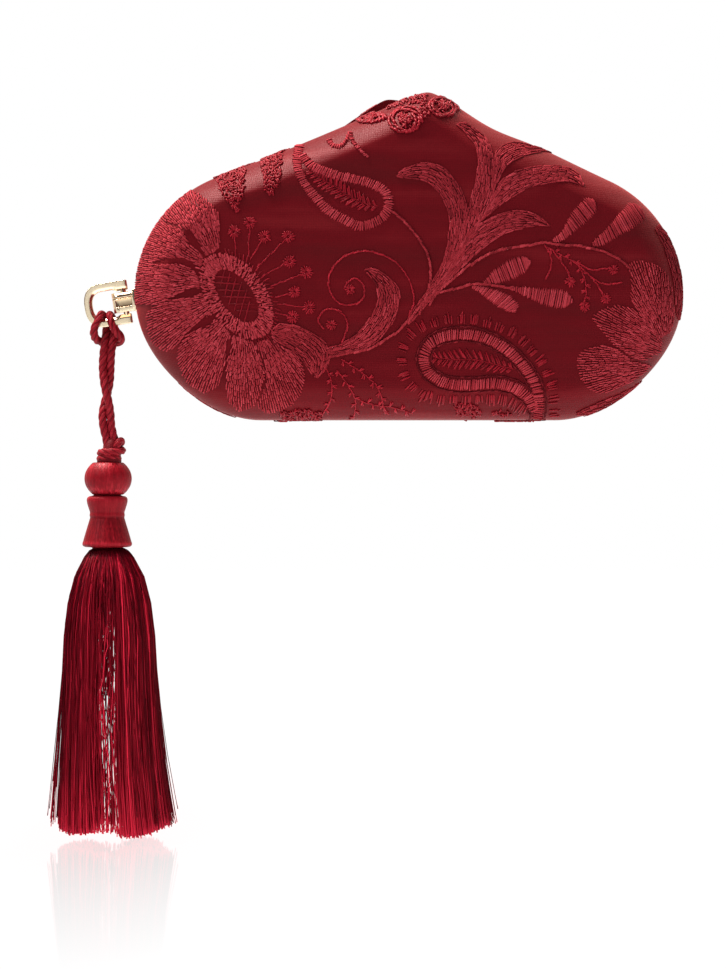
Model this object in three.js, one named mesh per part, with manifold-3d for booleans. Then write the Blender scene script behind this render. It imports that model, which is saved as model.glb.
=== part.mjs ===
// Evening clutch bag: two stiff cloth-covered shells hinged along the base, a gold shackle on a
// side fitting, and a thread tassel that hangs from the shackle on a doubled cord.
// Millimetres, +Z up. The front faces -Y and the seam between the shells is the plane y = 0.
// The origin is the middle of the flat base, on the seam.
import * as THREE from 'three';
import { mergeVertices } from 'three/addons/utils/BufferGeometryUtils.js';
import Module from 'manifold-3d';

const wasm = await Module();
wasm.setup();

// Driving sizes of the bag
const BASE_HALF = 57;        // half length of the straight base
const END_RADIUS = 48;       // round left and right ends
const SEAM_GAP = 0.4;        // between the two rims
const LEFT_SLOPE = 21;       // rise of the left shoulder, degrees
const RIGHT_SLOPE = 25;      // rise of the right shoulder, degrees
const OUTLINE_STEPS = { base: 8, end: 16, shoulder: 16 };

// Each shell ends in a rounded peak. reach is how far a shoulder runs straight before it turns up
// to the peak, and round is how far the top runs level beside the peak.
const PEAKS = {
  front: { x: 7.5, z: 125.8, leftReach: 54, leftRound: 14.5, rightRound: 5.5, rightReach: 48 },
  back: { x: -7.5, z: 124, leftReach: 62, leftRound: 5.5, rightRound: 6.5, rightReach: 70 },
};

// Sections of a shell from the seam to its face: depth from the seam plane and inset from the
// outline, outside and inside. The wall is thicker at the rim, which takes the hinge groove.
const SHELL_SECTIONS = [
  { depth: SEAM_GAP / 2, inset: 0, innerDepth: SEAM_GAP / 2, innerInset: 4.6 },
  { depth: 9.5, inset: 0, innerDepth: 6, innerInset: 4.6 },
  { depth: 14.5, inset: 1.5, innerDepth: 9, innerInset: 2.6 },
  { depth: 19, inset: 4.4, innerDepth: 17.4, innerInset: 6.6 },
  { depth: 22.6, inset: 8.2, innerDepth: 20.6, innerInset: 10 },
  { depth: 24.8, inset: 12.5, innerDepth: 22.4, innerInset: 13.6 },
  { depth: 25.9, inset: 22, innerDepth: 23.5, innerInset: 22.6 },
  { depth: 26.4, inset: 36, innerDepth: 24, innerInset: 36 },
];
const FACE_MIDDLE = { z: 58, crown: 0.2 };   // the middle stands crown past the last section

// Base hinge: a covered rod in a groove that both rims share
const HINGE = { radius: 1.1, height: 1.4, halfLength: 56, grooveHalf: 1.5, grooveTop: 2.9 };
const HINGE_RELIEF = { halfLength: 70, half: 1.65, top: 1.7 };

// Side fitting, in its own frame: a points along the fitting towards the bag, b up along the pin
const FITTING = { x: -110.1, y: 4.9, z: 45.9, tilt: 9 };
const BLOCK = { left: -4.7, right: 3.8, bottom: -3.9, top: 3.9, halfDepth: 3, edgeRound: 2.5 };
const BLOCK_ROLL = { foot: 1.8, groove: 0.45 };
const BLOCK_PANEL = { left: -3.4, right: 2.9, bottom: -1.8, top: 0.9, sunk: 0.6 };
const FLANGE = { face: 3.5, halfHeight: 4.3, halfDepth: 4.2, shellGap: 0.35 };
const PIN = { radius: 1.1, bore: 1.16, halfLength: 7, sides: 24 };
const SHACKLE = { halfDepth: 1.5, chamfer: 0.4, bowCentre: -8, armEnd: 1.9, eyeEnd: -2.6, eyeTaper: 1.2 };
const BOW_OUTER = { reach: 7.7, halfHeight: 8.5 };
const BOW_INNER = { reach: 4.6, halfHeight: 5.3, eyeHalfHeight: 4.6 };
const BOW_STEPS = 14;

// Doubled cord: from the knot up one strand, hitched round the shackle's lower arm with its bridge
// at the back, and down the other strand, which crosses the first once. Columns: x, y from the
// fitting's middle, z.
const CORD_DIAMETER = 2.8;
const CORD_STEPS = 80;
const CORD_ROUTE = [
  [-114.2, 0, -7.6], [-115.4, 0, -2.4], [-115.7, -0.2, 2.2], [-116.2, -1.25, 6.2],
  [-117.1, -1.65, 10.2], [-118.1, -1.15, 15], [-118.6, -0.3, 21], [-118.3, -0.5, 26],
  [-117.8, -0.3, 30], [-117.5, 1.7, 33.6], [-117.6, 3.2, 37], [-118.2, 2.6, 40.4], [-118.9, 0, 41.6],
  [-119.5, -2.6, 41], [-120.7, -3.3, 38], [-121.8, -3, 35.2], [-121.9, -1.4, 32.9],
  [-121, 1.3, 31.2], [-119.2, 3.5, 30.5], [-117, 3.8, 30.2], [-114.8, 3.7, 30.2],
  [-112.4, 2.6, 30.6], [-111.65, -0.3, 32], [-113.2, -2.9, 34.4], [-115, -3.4, 37.2],
  [-115.8, -2.6, 40.5], [-115.9, 0, 41.5], [-115.2, 2.6, 40.5], [-114.4, 3.2, 37],
  [-114.5, 1.7, 33.6], [-114.8, -0.3, 30], [-115.4, -0.5, 26], [-115.7, 0.3, 21], [-116.1, 1.15, 15],
  [-117.1, 1.65, 10.2], [-118.1, 1.25, 6.2], [-118.75, 0.2, 2.2], [-118.4, 0, -2.4],
  [-117.2, 0, -7.6],
];

// Knot under the cord: a core with turns laid round it at different tilts
const KNOT = { x: -115.1, z: -12.3, coreWidth: 4.4, coreHeight: 4.1 };
const KNOT_TURNS = [
  { dz: -1.75, ring: 3.7, thick: 1.8, tilt: 5, dx: -0.4 },
  { dz: 0.9, ring: 3.4, thick: 1.7, tilt: -24, dx: 0.5 },
];

// Tassel: wound ball, wound waist and a skirt of locks under a domed head. Columns: z, radius.
const TASSEL_X = -116.6;
const ROUND_SIDES = 24;
const BALL = { z: -23.2, halfWidth: 9.1, halfHeight: 6.3, steps: 12 };
const WAIST_PROFILE = [
  [-29.9, 4.5], [-30.4, 7.2], [-31.6, 7.9], [-33.6, 7.6], [-35.6, 6.9], [-36.4, 7.2], [-37.2, 6.8],
  [-39.5, 7.2], [-43, 8.4], [-46, 9.2], [-48, 9.3], [-49.2, 8.2],
];
const SKIRT_PROFILE = [
  { z: -52, radius: 7.5, drift: 0.3 },
  { z: -54.5, radius: 10.6, drift: 0.3 },
  { z: -61, radius: 13.9, drift: 0.2 },
  { z: -69, radius: 15.8, drift: 0.1 },
  { z: -88, radius: 17.4, drift: 0.1 },
  { z: -115, radius: 18.9, drift: 0.3 },
  { z: -138, radius: 21.6, drift: 1.6 },
  { z: -158, radius: 23.2, drift: 3.1 },
];
const SKIRT_HEAD = { top: -49.5, foot: -66, radius: 12.2 };
const LOCKS = { count: 14, gap: 0.5, ragged: 3.2 };
const LOCK_SHARES = { edge: 0.95, crest: 1.02, inner: 0.58, innerWidth: 0.9 };

const RADIANS = Math.PI / 180;

// Makes a geometry of rings with equal point counts, closed by a fan at each end. The faces are
// turned outwards by the sign of the volume.
function loft(rings, startCentre, endCentre) {
  const count = rings[0].length;
  const points = [...rings.flat(), startCentre, endCentre];
  const start = points.length - 2;
  const end = points.length - 1;
  const faces = [];
  for (let i = 0; i < count; i += 1) {
    const j = (i + 1) % count;
    faces.push([start, j, i]);
    for (let k = 0; k + 1 < rings.length; k += 1) {
      const here = k * count;
      const next = here + count;
      faces.push([here + i, here + j, next + j], [here + i, next + j, next + i]);
    }
    const last = (rings.length - 1) * count;
    faces.push([end, last + i, last + j]);
  }
  let volume = 0;
  for (const [a, b, c] of faces) {
    volume += points[a].dot(new THREE.Vector3().crossVectors(points[b], points[c]));
  }
  const index = volume > 0 ? faces.flat() : faces.map(([a, b, c]) => [a, c, b]).flat();
  const geometry = new THREE.BufferGeometry().setFromPoints(points);
  geometry.setIndex(index);
  return geometry;
}

// Turns a closed three.js geometry into a solid for joining and cutting.
function toSolid(geometry) {
  const bare = geometry.clone();
  bare.deleteAttribute('normal');
  bare.deleteAttribute('uv');
  const merged = mergeVertices(bare, 1e-4);
  return new wasm.Manifold(new wasm.Mesh({
    numProp: 3,
    vertProperties: new Float32Array(merged.attributes.position.array),
    triVerts: new Uint32Array(merged.index.array),
  }));
}

// Turns a joined or cut solid back into a geometry.
function toGeometry(solid) {
  const mesh = solid.getMesh();
  const geometry = new THREE.BufferGeometry();
  geometry.setAttribute('position', new THREE.BufferAttribute(mesh.vertProperties, 3));
  geometry.setIndex(new THREE.BufferAttribute(mesh.triVerts, 1));
  return geometry;
}

function boxSolid(low, high) {
  const size = high.map((value, i) => value - low[i]);
  const box = new THREE.BoxGeometry(...size);
  box.translate(...low.map((value, i) => value + size[i] / 2));
  return toSolid(box);
}

function named(name, geometry, material) {
  geometry.computeVertexNormals();
  const mesh = new THREE.Mesh(geometry, material);
  mesh.name = name;
  return mesh;
}

// The bag's outline, shrunk by inset, as points in x and z: base, right end, right shoulder, left
// shoulder, left end.
function outline(peak, inset) {
  const radius = END_RADIUS - inset;
  const rightNormal = (90 - RIGHT_SLOPE) * RADIANS;
  const leftNormal = (90 + LEFT_SLOPE) * RADIANS;
  const rightFoot = new THREE.Vector2(BASE_HALF + radius * Math.cos(rightNormal),
    END_RADIUS + radius * Math.sin(rightNormal));
  const leftFoot = new THREE.Vector2(-BASE_HALF + radius * Math.cos(leftNormal),
    END_RADIUS + radius * Math.sin(leftNormal));
  const top = peak.z - inset;
  const point = (x, z) => new THREE.Vector2(x, z);
  const alongRight = point(rightFoot.x - peak.rightReach * Math.sin(rightNormal),
    rightFoot.y + peak.rightReach * Math.cos(rightNormal));
  const alongLeft = point(leftFoot.x + peak.leftReach * Math.sin(leftNormal),
    leftFoot.y - peak.leftReach * Math.cos(leftNormal));
  const stretches = [
    [new THREE.LineCurve(point(-BASE_HALF, inset), point(BASE_HALF, inset)), OUTLINE_STEPS.base],
    [new THREE.EllipseCurve(BASE_HALF, END_RADIUS, radius, radius, -Math.PI / 2, rightNormal),
      OUTLINE_STEPS.end],
    [new THREE.CubicBezierCurve(rightFoot, alongRight, point(peak.x + peak.rightRound, top),
      point(peak.x, top)), OUTLINE_STEPS.shoulder],
    [new THREE.CubicBezierCurve(point(peak.x, top), point(peak.x - peak.leftRound, top), alongLeft,
      leftFoot), OUTLINE_STEPS.shoulder],
    [new THREE.EllipseCurve(-BASE_HALF, END_RADIUS, radius, radius, leftNormal, 1.5 * Math.PI),
      OUTLINE_STEPS.end],
  ];
  return stretches.flatMap(([curve, steps]) => curve.getPoints(steps).slice(0, -1));
}

// One shell: inside face to rim to outside face, with the hinge groove cut in its base rim.
// side is -1 for the front shell and 1 for the back.
function shellGeometry(peak, side) {
  const ring = (depth, inset) => outline(peak, inset)
    .map((p) => new THREE.Vector3(p.x, side * depth, p.y));
  const inside = SHELL_SECTIONS.map((s) => ring(s.innerDepth, s.innerInset)).reverse();
  const outside = SHELL_SECTIONS.map((s) => ring(s.depth, s.inset));
  const last = SHELL_SECTIONS.at(-1);
  const middle = (depth) => new THREE.Vector3(0, side * (depth + FACE_MIDDLE.crown), FACE_MIDDLE.z);
  const shell = loft([...inside, ...outside], middle(last.innerDepth), middle(last.depth));
  const groove = boxSolid([-HINGE.halfLength - 1, -HINGE.grooveHalf, -1],
    [HINGE.halfLength + 1, HINGE.grooveHalf, HINGE.grooveTop]);
  const relief = boxSolid([-HINGE_RELIEF.halfLength, -HINGE_RELIEF.half, -1],
    [HINGE_RELIEF.halfLength, HINGE_RELIEF.half, HINGE_RELIEF.top]);
  return toGeometry(toSolid(shell).subtract(groove).subtract(relief));
}

function hingeGeometry() {
  const rod = new THREE.CylinderGeometry(HINGE.radius, HINGE.radius, 2 * HINGE.halfLength, 12);
  rod.rotateZ(Math.PI / 2);
  rod.translate(0, 0, HINGE.height);
  return rod;
}

// A flat shape of [u, v] points as an extrusion of the given length.
function extrude(points, length) {
  const shape = new THREE.Shape(points.map(([u, v]) => new THREE.Vector2(u, v)));
  return new THREE.ExtrudeGeometry(shape, { depth: length, bevelEnabled: false });
}

// Points of a quarter turn about a corner's centre, from one angle in degrees to another.
function quarter(cu, cv, radius, from, to) {
  const steps = 6;
  return Array.from({ length: steps + 1 }, (_, i) => {
    const angle = (from + ((to - from) * i) / steps) * RADIANS;
    return [cu + radius * Math.cos(angle), cv + radius * Math.sin(angle)];
  });
}

// The block seen along the pin: its free edges are rounded so the cord clears them as it swings.
function blockPlan() {
  const { left, right, halfDepth, edgeRound: r } = BLOCK;
  const plan = extrude([
    [right, -halfDepth], [right, halfDepth],
    ...quarter(left + r, halfDepth - r, r, 90, 180),
    ...quarter(left + r, -halfDepth + r, r, 180, 270),
  ], BLOCK.top - BLOCK.bottom);
  plan.translate(0, 0, BLOCK.bottom);
  return toSolid(plan);
}

// The block seen from its end: straight sides, a groove, and a rolled top.
function blockProfile() {
  const { bottom, top, halfDepth, left, right } = BLOCK;
  const roll = top - BLOCK_ROLL.foot;
  const waist = BLOCK_ROLL.foot - BLOCK_ROLL.groove / 2;
  const foot = BLOCK_ROLL.foot - BLOCK_ROLL.groove;
  const sunk = halfDepth - BLOCK_ROLL.groove;
  const profile = extrude([
    [-halfDepth, bottom], [halfDepth, bottom], [halfDepth, foot], [sunk, waist],
    ...quarter(halfDepth - roll, BLOCK_ROLL.foot, roll, 0, 90),
    ...quarter(-halfDepth + roll, BLOCK_ROLL.foot, roll, 90, 180),
    [-sunk, waist], [-halfDepth, foot],
  ], right - left);
  profile.rotateX(Math.PI / 2);
  profile.rotateZ(Math.PI / 2);
  profile.translate(left, 0, 0);
  return toSolid(profile);
}

// The end plate against the bag: its free face is flat and its other face follows the bag's end.
function flangeSolid() {
  const tilt = FITTING.tilt * RADIANS;
  const dx = -BASE_HALF - FITTING.x;
  const dz = END_RADIUS - FITTING.z;
  const centre = [dx * Math.cos(tilt) + dz * Math.sin(tilt),
    dz * Math.cos(tilt) - dx * Math.sin(tilt)];
  const radius = END_RADIUS + FLANGE.shellGap;
  const heights = [-1, -0.5, 0, 0.5, 1].map((share) => share * FLANGE.halfHeight);
  const saddle = heights.map((b) => [centre[0] - Math.sqrt(radius ** 2 - (b - centre[1]) ** 2), b]);
  const plate = extrude([[FLANGE.face, FLANGE.halfHeight], [FLANGE.face, -FLANGE.halfHeight],
    ...saddle], 2 * FLANGE.halfDepth);
  plate.rotateX(Math.PI / 2);
  plate.translate(0, FLANGE.halfDepth, 0);
  return toSolid(plate);
}

function pinSolid(radius, halfLength) {
  const pin = new THREE.CylinderGeometry(radius, radius, 2 * halfLength, PIN.sides);
  pin.rotateX(Math.PI / 2);
  return toSolid(pin);
}

function blockGeometry() {
  const panel = (side) => boxSolid(
    [BLOCK_PANEL.left, side * BLOCK.halfDepth - BLOCK_PANEL.sunk, BLOCK_PANEL.bottom],
    [BLOCK_PANEL.right, side * BLOCK.halfDepth + BLOCK_PANEL.sunk, BLOCK_PANEL.top],
  );
  return toGeometry(blockPlan().intersect(blockProfile()).subtract(panel(-1)).subtract(panel(1))
    .add(flangeSolid()).subtract(pinSolid(PIN.bore, BLOCK.top + 1)));
}

// The shackle's bar at one station, as eight points of a chamfered rectangle between an outer and
// an inner point of the bow.
function barSection([outerA, outerB], [innerA, innerB]) {
  const width = Math.hypot(innerA - outerA, innerB - outerB);
  const cut = SHACKLE.chamfer;
  const deep = SHACKLE.halfDepth;
  const corners = [
    [cut, -deep], [width - cut, -deep], [width, cut - deep], [width, deep - cut],
    [width - cut, deep], [cut, deep], [0, deep - cut], [0, cut - deep],
  ];
  return corners.map(([along, y]) => new THREE.Vector3(
    outerA + ((innerA - outerA) * along) / width, y, outerB + ((innerB - outerB) * along) / width));
}

// D-shaped shackle with its pin soldered in both arms.
function shackleGeometry() {
  const arm = (sign) => [
    [SHACKLE.armEnd, BOW_INNER.eyeHalfHeight], [SHACKLE.eyeEnd, BOW_INNER.eyeHalfHeight],
    [SHACKLE.eyeEnd - SHACKLE.eyeTaper, BOW_INNER.halfHeight],
  ].map(([a, inner]) => barSection([a, sign * BOW_OUTER.halfHeight], [a, sign * inner]));
  const bow = Array.from({ length: BOW_STEPS + 1 }, (_, i) => {
    const turn = Math.PI / 2 - (Math.PI * i) / BOW_STEPS;
    const at = ({ reach, halfHeight }) => [
      SHACKLE.bowCentre - reach * Math.cos(turn), halfHeight * Math.sin(turn)];
    return barSection(at(BOW_OUTER), at(BOW_INNER));
  });
  const rings = [...arm(1), ...bow, ...arm(-1).reverse()];
  const endCentre = (sign) => new THREE.Vector3(SHACKLE.armEnd, 0,
    (sign * (BOW_OUTER.halfHeight + BOW_INNER.eyeHalfHeight)) / 2);
  const bar = loft(rings, endCentre(1), endCentre(-1));
  return toGeometry(toSolid(bar).add(pinSolid(PIN.radius, PIN.halfLength)));
}

function cordGeometry() {
  const route = new THREE.CatmullRomCurve3(
    CORD_ROUTE.map(([x, y, z]) => new THREE.Vector3(x, FITTING.y + y, z)), false, 'centripetal');
  const section = new THREE.Shape(Array.from({ length: 8 }, (_, i) => new THREE.Vector2(
    (CORD_DIAMETER / 2) * Math.cos((i * Math.PI) / 4),
    (CORD_DIAMETER / 2) * Math.sin((i * Math.PI) / 4))));
  return new THREE.ExtrudeGeometry(section, {
    steps: CORD_STEPS, extrudePath: route, bevelEnabled: false });
}

function knotGeometry() {
  const core = new THREE.SphereGeometry(1, 16, 10);
  core.rotateX(Math.PI / 2);
  core.scale(KNOT.coreWidth, KNOT.coreWidth, KNOT.coreHeight);
  const turns = KNOT_TURNS.map((turn) => {
    const ring = new THREE.TorusGeometry(turn.ring, turn.thick, 8, 18);
    ring.rotateY(turn.tilt * RADIANS);
    ring.translate(turn.dx, 0, turn.dz);
    return toSolid(ring);
  });
  const knot = turns.reduce((solid, turn) => solid.add(turn), toSolid(core));
  return toGeometry(knot.translate(KNOT.x, FITTING.y, KNOT.z));
}

// A turned form on the tassel's axis from [z, radius] points, with both ends closed on the axis.
function turned(profile) {
  const closed = [[profile[0][0], 0], ...profile, [profile.at(-1)[0], 0]];
  const points = closed.map(([z, radius]) => new THREE.Vector2(radius, z)).reverse();
  const form = new THREE.LatheGeometry(points, ROUND_SIDES);
  form.rotateX(Math.PI / 2);
  form.translate(TASSEL_X, FITTING.y, 0);
  return form;
}

function ballGeometry() {
  const inner = Array.from({ length: BALL.steps - 1 }, (_, i) => {
    const turn = (Math.PI * (i + 1)) / BALL.steps;
    return [BALL.z + BALL.halfHeight * Math.cos(turn), BALL.halfWidth * Math.sin(turn)];
  });
  return turned(inner);
}

// One lock of the skirt: a wedge of the skirt's ring at each section, running down from the head.
function lockSolid(number) {
  const share = (2 * Math.PI) / LOCKS.count;
  const middle = share * (number + 0.5);
  const drop = LOCKS.ragged * (0.5 + 0.5 * Math.sin(2.4 * number));
  const lowest = SKIRT_PROFILE.length - 1;
  const rings = SKIRT_PROFILE.map(({ z, radius, drift }, level) => {
    const half = share / 2 - LOCKS.gap / 2 / radius;
    const { edge, crest, inner, innerWidth } = LOCK_SHARES;
    const corners = [
      [edge, -half], [crest, -half / 2], [crest, half / 2], [edge, half],
      [inner, half * innerWidth], [inner, -half * innerWidth],
    ];
    return corners.map(([reach, turn]) => new THREE.Vector3(
      TASSEL_X + drift + reach * radius * Math.cos(middle + turn),
      FITTING.y + reach * radius * Math.sin(middle + turn),
      z - (level === lowest ? drop : 0)));
  });
  const centre = (ring) => ring.reduce((sum, p) => sum.add(p), new THREE.Vector3())
    .divideScalar(ring.length);
  return toSolid(loft(rings, centre(rings[0]), centre(rings.at(-1))));
}

function skirtGeometry() {
  const middle = (SKIRT_HEAD.top + SKIRT_HEAD.foot) / 2;
  const half = (SKIRT_HEAD.top - SKIRT_HEAD.foot) / 2;
  const dome = Array.from({ length: 9 }, (_, i) => {
    const turn = (Math.PI * (i + 1)) / 10;
    return [middle + half * Math.cos(turn), SKIRT_HEAD.radius * Math.sin(turn)];
  });
  const locks = Array.from({ length: LOCKS.count }, (_, number) => lockSolid(number));
  return toGeometry(locks.reduce((solid, lock) => solid.add(lock), toSolid(turned(dome))));
}

const satin = new THREE.MeshStandardMaterial({ color: '#621820', roughness: 0.5 });
const gold = new THREE.MeshStandardMaterial({ color: '#e6d2a5', roughness: 0.15, metalness: 1 });
const thread = new THREE.MeshStandardMaterial({ color: '#8a1f2c', roughness: 0.6 });

const fitting = new THREE.Group();
fitting.position.set(FITTING.x, FITTING.y, FITTING.z);
fitting.rotation.y = -FITTING.tilt * RADIANS;
fitting.add(
  named('clasp_block', blockGeometry(), gold),
  named('d_shackle', shackleGeometry(), gold),
);

const bag = new THREE.Group();
bag.add(
  named('front_shell', shellGeometry(PEAKS.front, -1), satin),
  named('back_shell', shellGeometry(PEAKS.back, 1), satin),
  named('hinge_rod', hingeGeometry(), satin),
  fitting,
  named('tassel_cord', cordGeometry(), thread),
  named('cord_knot', knotGeometry(), thread),
  named('tassel_ball', ballGeometry(), thread),
  named('tassel_waist', turned(WAIST_PROFILE), thread),
  named('tassel_skirt', skirtGeometry(), thread),
);

export default bag;
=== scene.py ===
import bpy
import numpy as np
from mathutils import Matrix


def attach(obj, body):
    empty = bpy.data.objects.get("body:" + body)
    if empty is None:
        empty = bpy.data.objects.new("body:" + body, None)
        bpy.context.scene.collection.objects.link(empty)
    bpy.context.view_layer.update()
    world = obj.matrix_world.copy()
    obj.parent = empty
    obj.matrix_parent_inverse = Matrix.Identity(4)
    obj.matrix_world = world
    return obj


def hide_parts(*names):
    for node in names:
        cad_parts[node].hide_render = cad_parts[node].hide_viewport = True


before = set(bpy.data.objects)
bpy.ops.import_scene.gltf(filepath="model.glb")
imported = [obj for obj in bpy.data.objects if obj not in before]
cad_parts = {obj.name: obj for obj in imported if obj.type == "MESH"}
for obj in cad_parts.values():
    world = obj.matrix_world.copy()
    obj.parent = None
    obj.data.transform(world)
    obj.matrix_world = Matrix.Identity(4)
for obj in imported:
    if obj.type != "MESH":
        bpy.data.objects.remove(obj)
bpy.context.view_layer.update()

MM = 0.001
rng = np.random.default_rng(11)

# Camera and stage
VIEW_CENTRE = (-17.4, -25.0)     # x and z of the picture's middle, mm
VIEW_HEIGHT = 375.0              # height of the picture at the seam plane, mm
CAMERA_DISTANCE = 1300.0         # from the seam plane, mm
FLOOR_LEVEL = -162.2
FLOOR_REACH = 4000.0
MIRROR_SQUEEZE = 4               # the floor's mirror is this many times narrower along X than along Y
STUDIO_LIGHTS = [                # name, place, aim, size, watts and colour
    ("left_box", (-0.95, -0.75, 0.85), (0, 0, 0.02), 0.5, 6.3, (1, 1, 1)),
    ("shoulder_box", (-0.45, 0.05, 1.0), (0, 0, 0.08), 0.45, 28.0, (1, 0.82, 0.76)),
    ("right_box", (0.95, -0.8, 0.25), (0, 0, 0), 0.6, 2.8, (1, 1, 1)),
    ("far_box", (0.45, 0.42, 0.95), (0.05, 0, 0.08), 0.4, 1.6, (1, 0.42, 0.38)),
    ("front_box", (-0.2, -1.55, 0.12), (-0.11, 0, 0.04), 0.5, 0.65, (1, 1, 1)),
    ("floor_box", (0.0, -0.11, -0.158), (0.0, -0.09, 0.2), 0.34, 0.62, (1, 0.62, 0.55)),
]

# Bag outline, as in the frame
BASE_HALF = 57.0
END_RADIUS = 48.0
CORNER_CUT = 1.7                 # how much the round ends draw in between base and side
CORNER_SPAN = 1.5                # angle over which they do, radians
LEFT_SLOPE = np.radians(21)
RIGHT_SLOPE = np.radians(25)
PEAKS = {                        # by side; each hollow is its middle, half width and depth
    -1: dict(x=7.5, z=125.8, left_reach=70, left_round=6, right_round=5.5, right_reach=48,
             hollows=((31, 14, 2.4),)),
    1: dict(x=-7.5, z=124.0, left_reach=62, left_round=5.5, right_round=6.5, right_reach=70,
            hollows=((-33, 10, 1.9), (27, 17, 2.2))),
}
POLE = (0.0, 52.0)               # middle of the face, from which the outline is measured
SEAM_HALF_GAP = 0.2
WALL_DEPTH = 9.5                 # flat strip beside the seam
BEVEL_WIDTH = 12.0
BEVEL_DEPTH = 15.2
BEVEL_POWER = 1.38
CROWN = 1.7
LINING = 2.4                     # thickness of the covered wall
HINGE_RELIEF = (1.75, 70.0, 1.65)    # height, half length and half width of the room under the hinge
HINGE_GROOVE = (2.95, 57.0, 1.5)     # the same of the groove that holds its rod

# Side fitting: its own frame has a towards the bag and b up along the pin
FITTING = dict(x=-110.1, y=4.9, z=45.9, tilt=np.radians(9))
TASSEL_X = -116.6
TUBE_ACROSS = (0.31, 0.87, 0.38)     # a direction that no thread follows, to lay the rings of tubes by


def unit(v):
    """Vectors scaled to length one along the last axis."""
    return v / np.maximum(np.linalg.norm(v, axis=-1, keepdims=True), 1e-12)


def smoothstep(t):
    """Cubic ease from 0 to 1 for t from 0 to 1."""
    t = np.clip(t, 0, 1)
    return t * t * (3 - 2 * t)


def grid_quads(rows, cols, closed):
    """Quads between the points of a grid numbered row by row; closed joins the last column to the first."""
    r = np.arange(rows - 1)[:, None]
    c = np.arange(cols if closed else cols - 1)[None, :]
    n = (c + 1) % cols
    quads = np.stack([r * cols + c, r * cols + n, (r + 1) * cols + n, (r + 1) * cols + c], axis=-1)
    return quads.reshape(-1, 4)


def swept_ends(rows, cols):
    """The two faces that close a grid of closed rows: the first row backwards and the last row."""
    return np.vstack([np.arange(cols)[::-1], np.arange(cols) + (rows - 1) * cols])


def add_piece(name, points, faces, material, tone=None, uv=None):
    """A smooth-shaded mesh object from points in mm and lists of face corners; tone is a number per point."""
    mesh = bpy.data.meshes.new(name)
    points = np.asarray(points, dtype=float).reshape(-1, 3) * MM
    mesh.from_pydata(points.tolist(), [], [np.asarray(f).tolist() for block in faces for f in block])
    mesh.polygons.foreach_set("use_smooth", np.ones(len(mesh.polygons), dtype=bool))
    if tone is not None:
        layer = mesh.attributes.new("tone", "FLOAT", "POINT")
        layer.data.foreach_set("value", np.asarray(tone, dtype=np.float32).ravel())
    if uv is not None:
        corners = np.empty(len(mesh.loops), dtype=np.int32)
        mesh.loops.foreach_get("vertex_index", corners)
        layer = mesh.uv_layers.new(name="UVMap")
        layer.data.foreach_set("uv", np.asarray(uv, dtype=np.float32).reshape(-1, 2)[corners].ravel())
    mesh.materials.append(material)
    mesh.update()
    piece = bpy.data.objects.new(name, mesh)
    bpy.context.scene.collection.objects.link(piece)
    return piece


def settle(piece, body, node_name=None):
    """Puts a piece on its body and hides the node that it stands for."""
    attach(piece, body)
    if node_name:
        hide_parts(node_name)


def tube_bundle(paths, radii, sides):
    """Many closed tubes at once. paths is (tubes, stations, 3), radii (tubes, stations). Each ring lies
    square to its path: side = path direction x a fixed direction, up = path direction x side. Returns
    points, quads and end faces."""
    tubes, stations = paths.shape[:2]
    along = unit(np.gradient(paths, axis=1))
    side = unit(np.cross(along, TUBE_ACROSS))
    up = np.cross(along, side)
    turn = np.linspace(0, 2 * np.pi, sides, endpoint=False)
    ring = (np.cos(turn)[:, None] * side[:, :, None, :] + np.sin(turn)[:, None] * up[:, :, None, :])
    points = paths[:, :, None, :] + radii[:, :, None, None] * ring
    start = (np.arange(tubes) * stations * sides)[:, None, None]
    quads = (grid_quads(stations, sides, True)[None] + start).reshape(-1, 4)
    ends = [end + start[:, 0] for end in swept_ends(stations, sides)]
    return points.reshape(-1, 3), quads, np.vstack(ends)


def smooth_route(points, per_span):
    """Centripetal Catmull-Rom curve through the points: each span is blended from three straight lines
    by knot times that grow with the square root of the distance."""
    p = np.asarray(points, dtype=float)
    p = np.vstack([2 * p[0] - p[1], p, 2 * p[-1] - p[-2]])
    gap = np.maximum(np.linalg.norm(np.diff(p, axis=0), axis=1) ** 0.5, 1e-6)
    p0, p1, p2, p3 = p[:-3, None], p[1:-2, None], p[2:-1, None], p[3:, None]
    d1, d2, d3 = (gap[i:len(gap) - 2 + i, None, None] for i in range(3))
    t = np.linspace(0, 1, per_span, endpoint=False)[None, :, None] * d2
    a1 = p0 - t / d1 * (p0 - p1) + (p1 - p0)
    a2 = p1 + t / d2 * (p2 - p1)
    a3 = p2 + (t - d2) / d3 * (p3 - p2)
    b1 = (d2 - t) / (d1 + d2) * a1 + (t + d1) / (d1 + d2) * a2
    b2 = (d2 + d3 - t) / (d2 + d3) * a2 + t / (d2 + d3) * a3
    route = (d2 - t) / d2 * b1 + t / d2 * b2
    return np.vstack([route.reshape(-1, p.shape[1]), p[-2:-1]])


def even_route(points, step):
    """The polyline's points spaced evenly, about step apart."""
    length = np.concatenate([[0], np.cumsum(np.linalg.norm(np.diff(points, axis=0), axis=1))])
    at = np.linspace(0, length[-1], max(int(round(length[-1] / step)), 2) + 1)
    return np.stack([np.interp(at, length, points[:, k]) for k in range(points.shape[1])], axis=1)


# Materials
DYED = (1.0, 0.36, 0.40)         # colour that dyed thread gives to its shine
SHEEN_COLOUR = (1.0, 0.16, 0.15)     # and to its sheen
SHEEN_ROUGHNESS = 0.4


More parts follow.
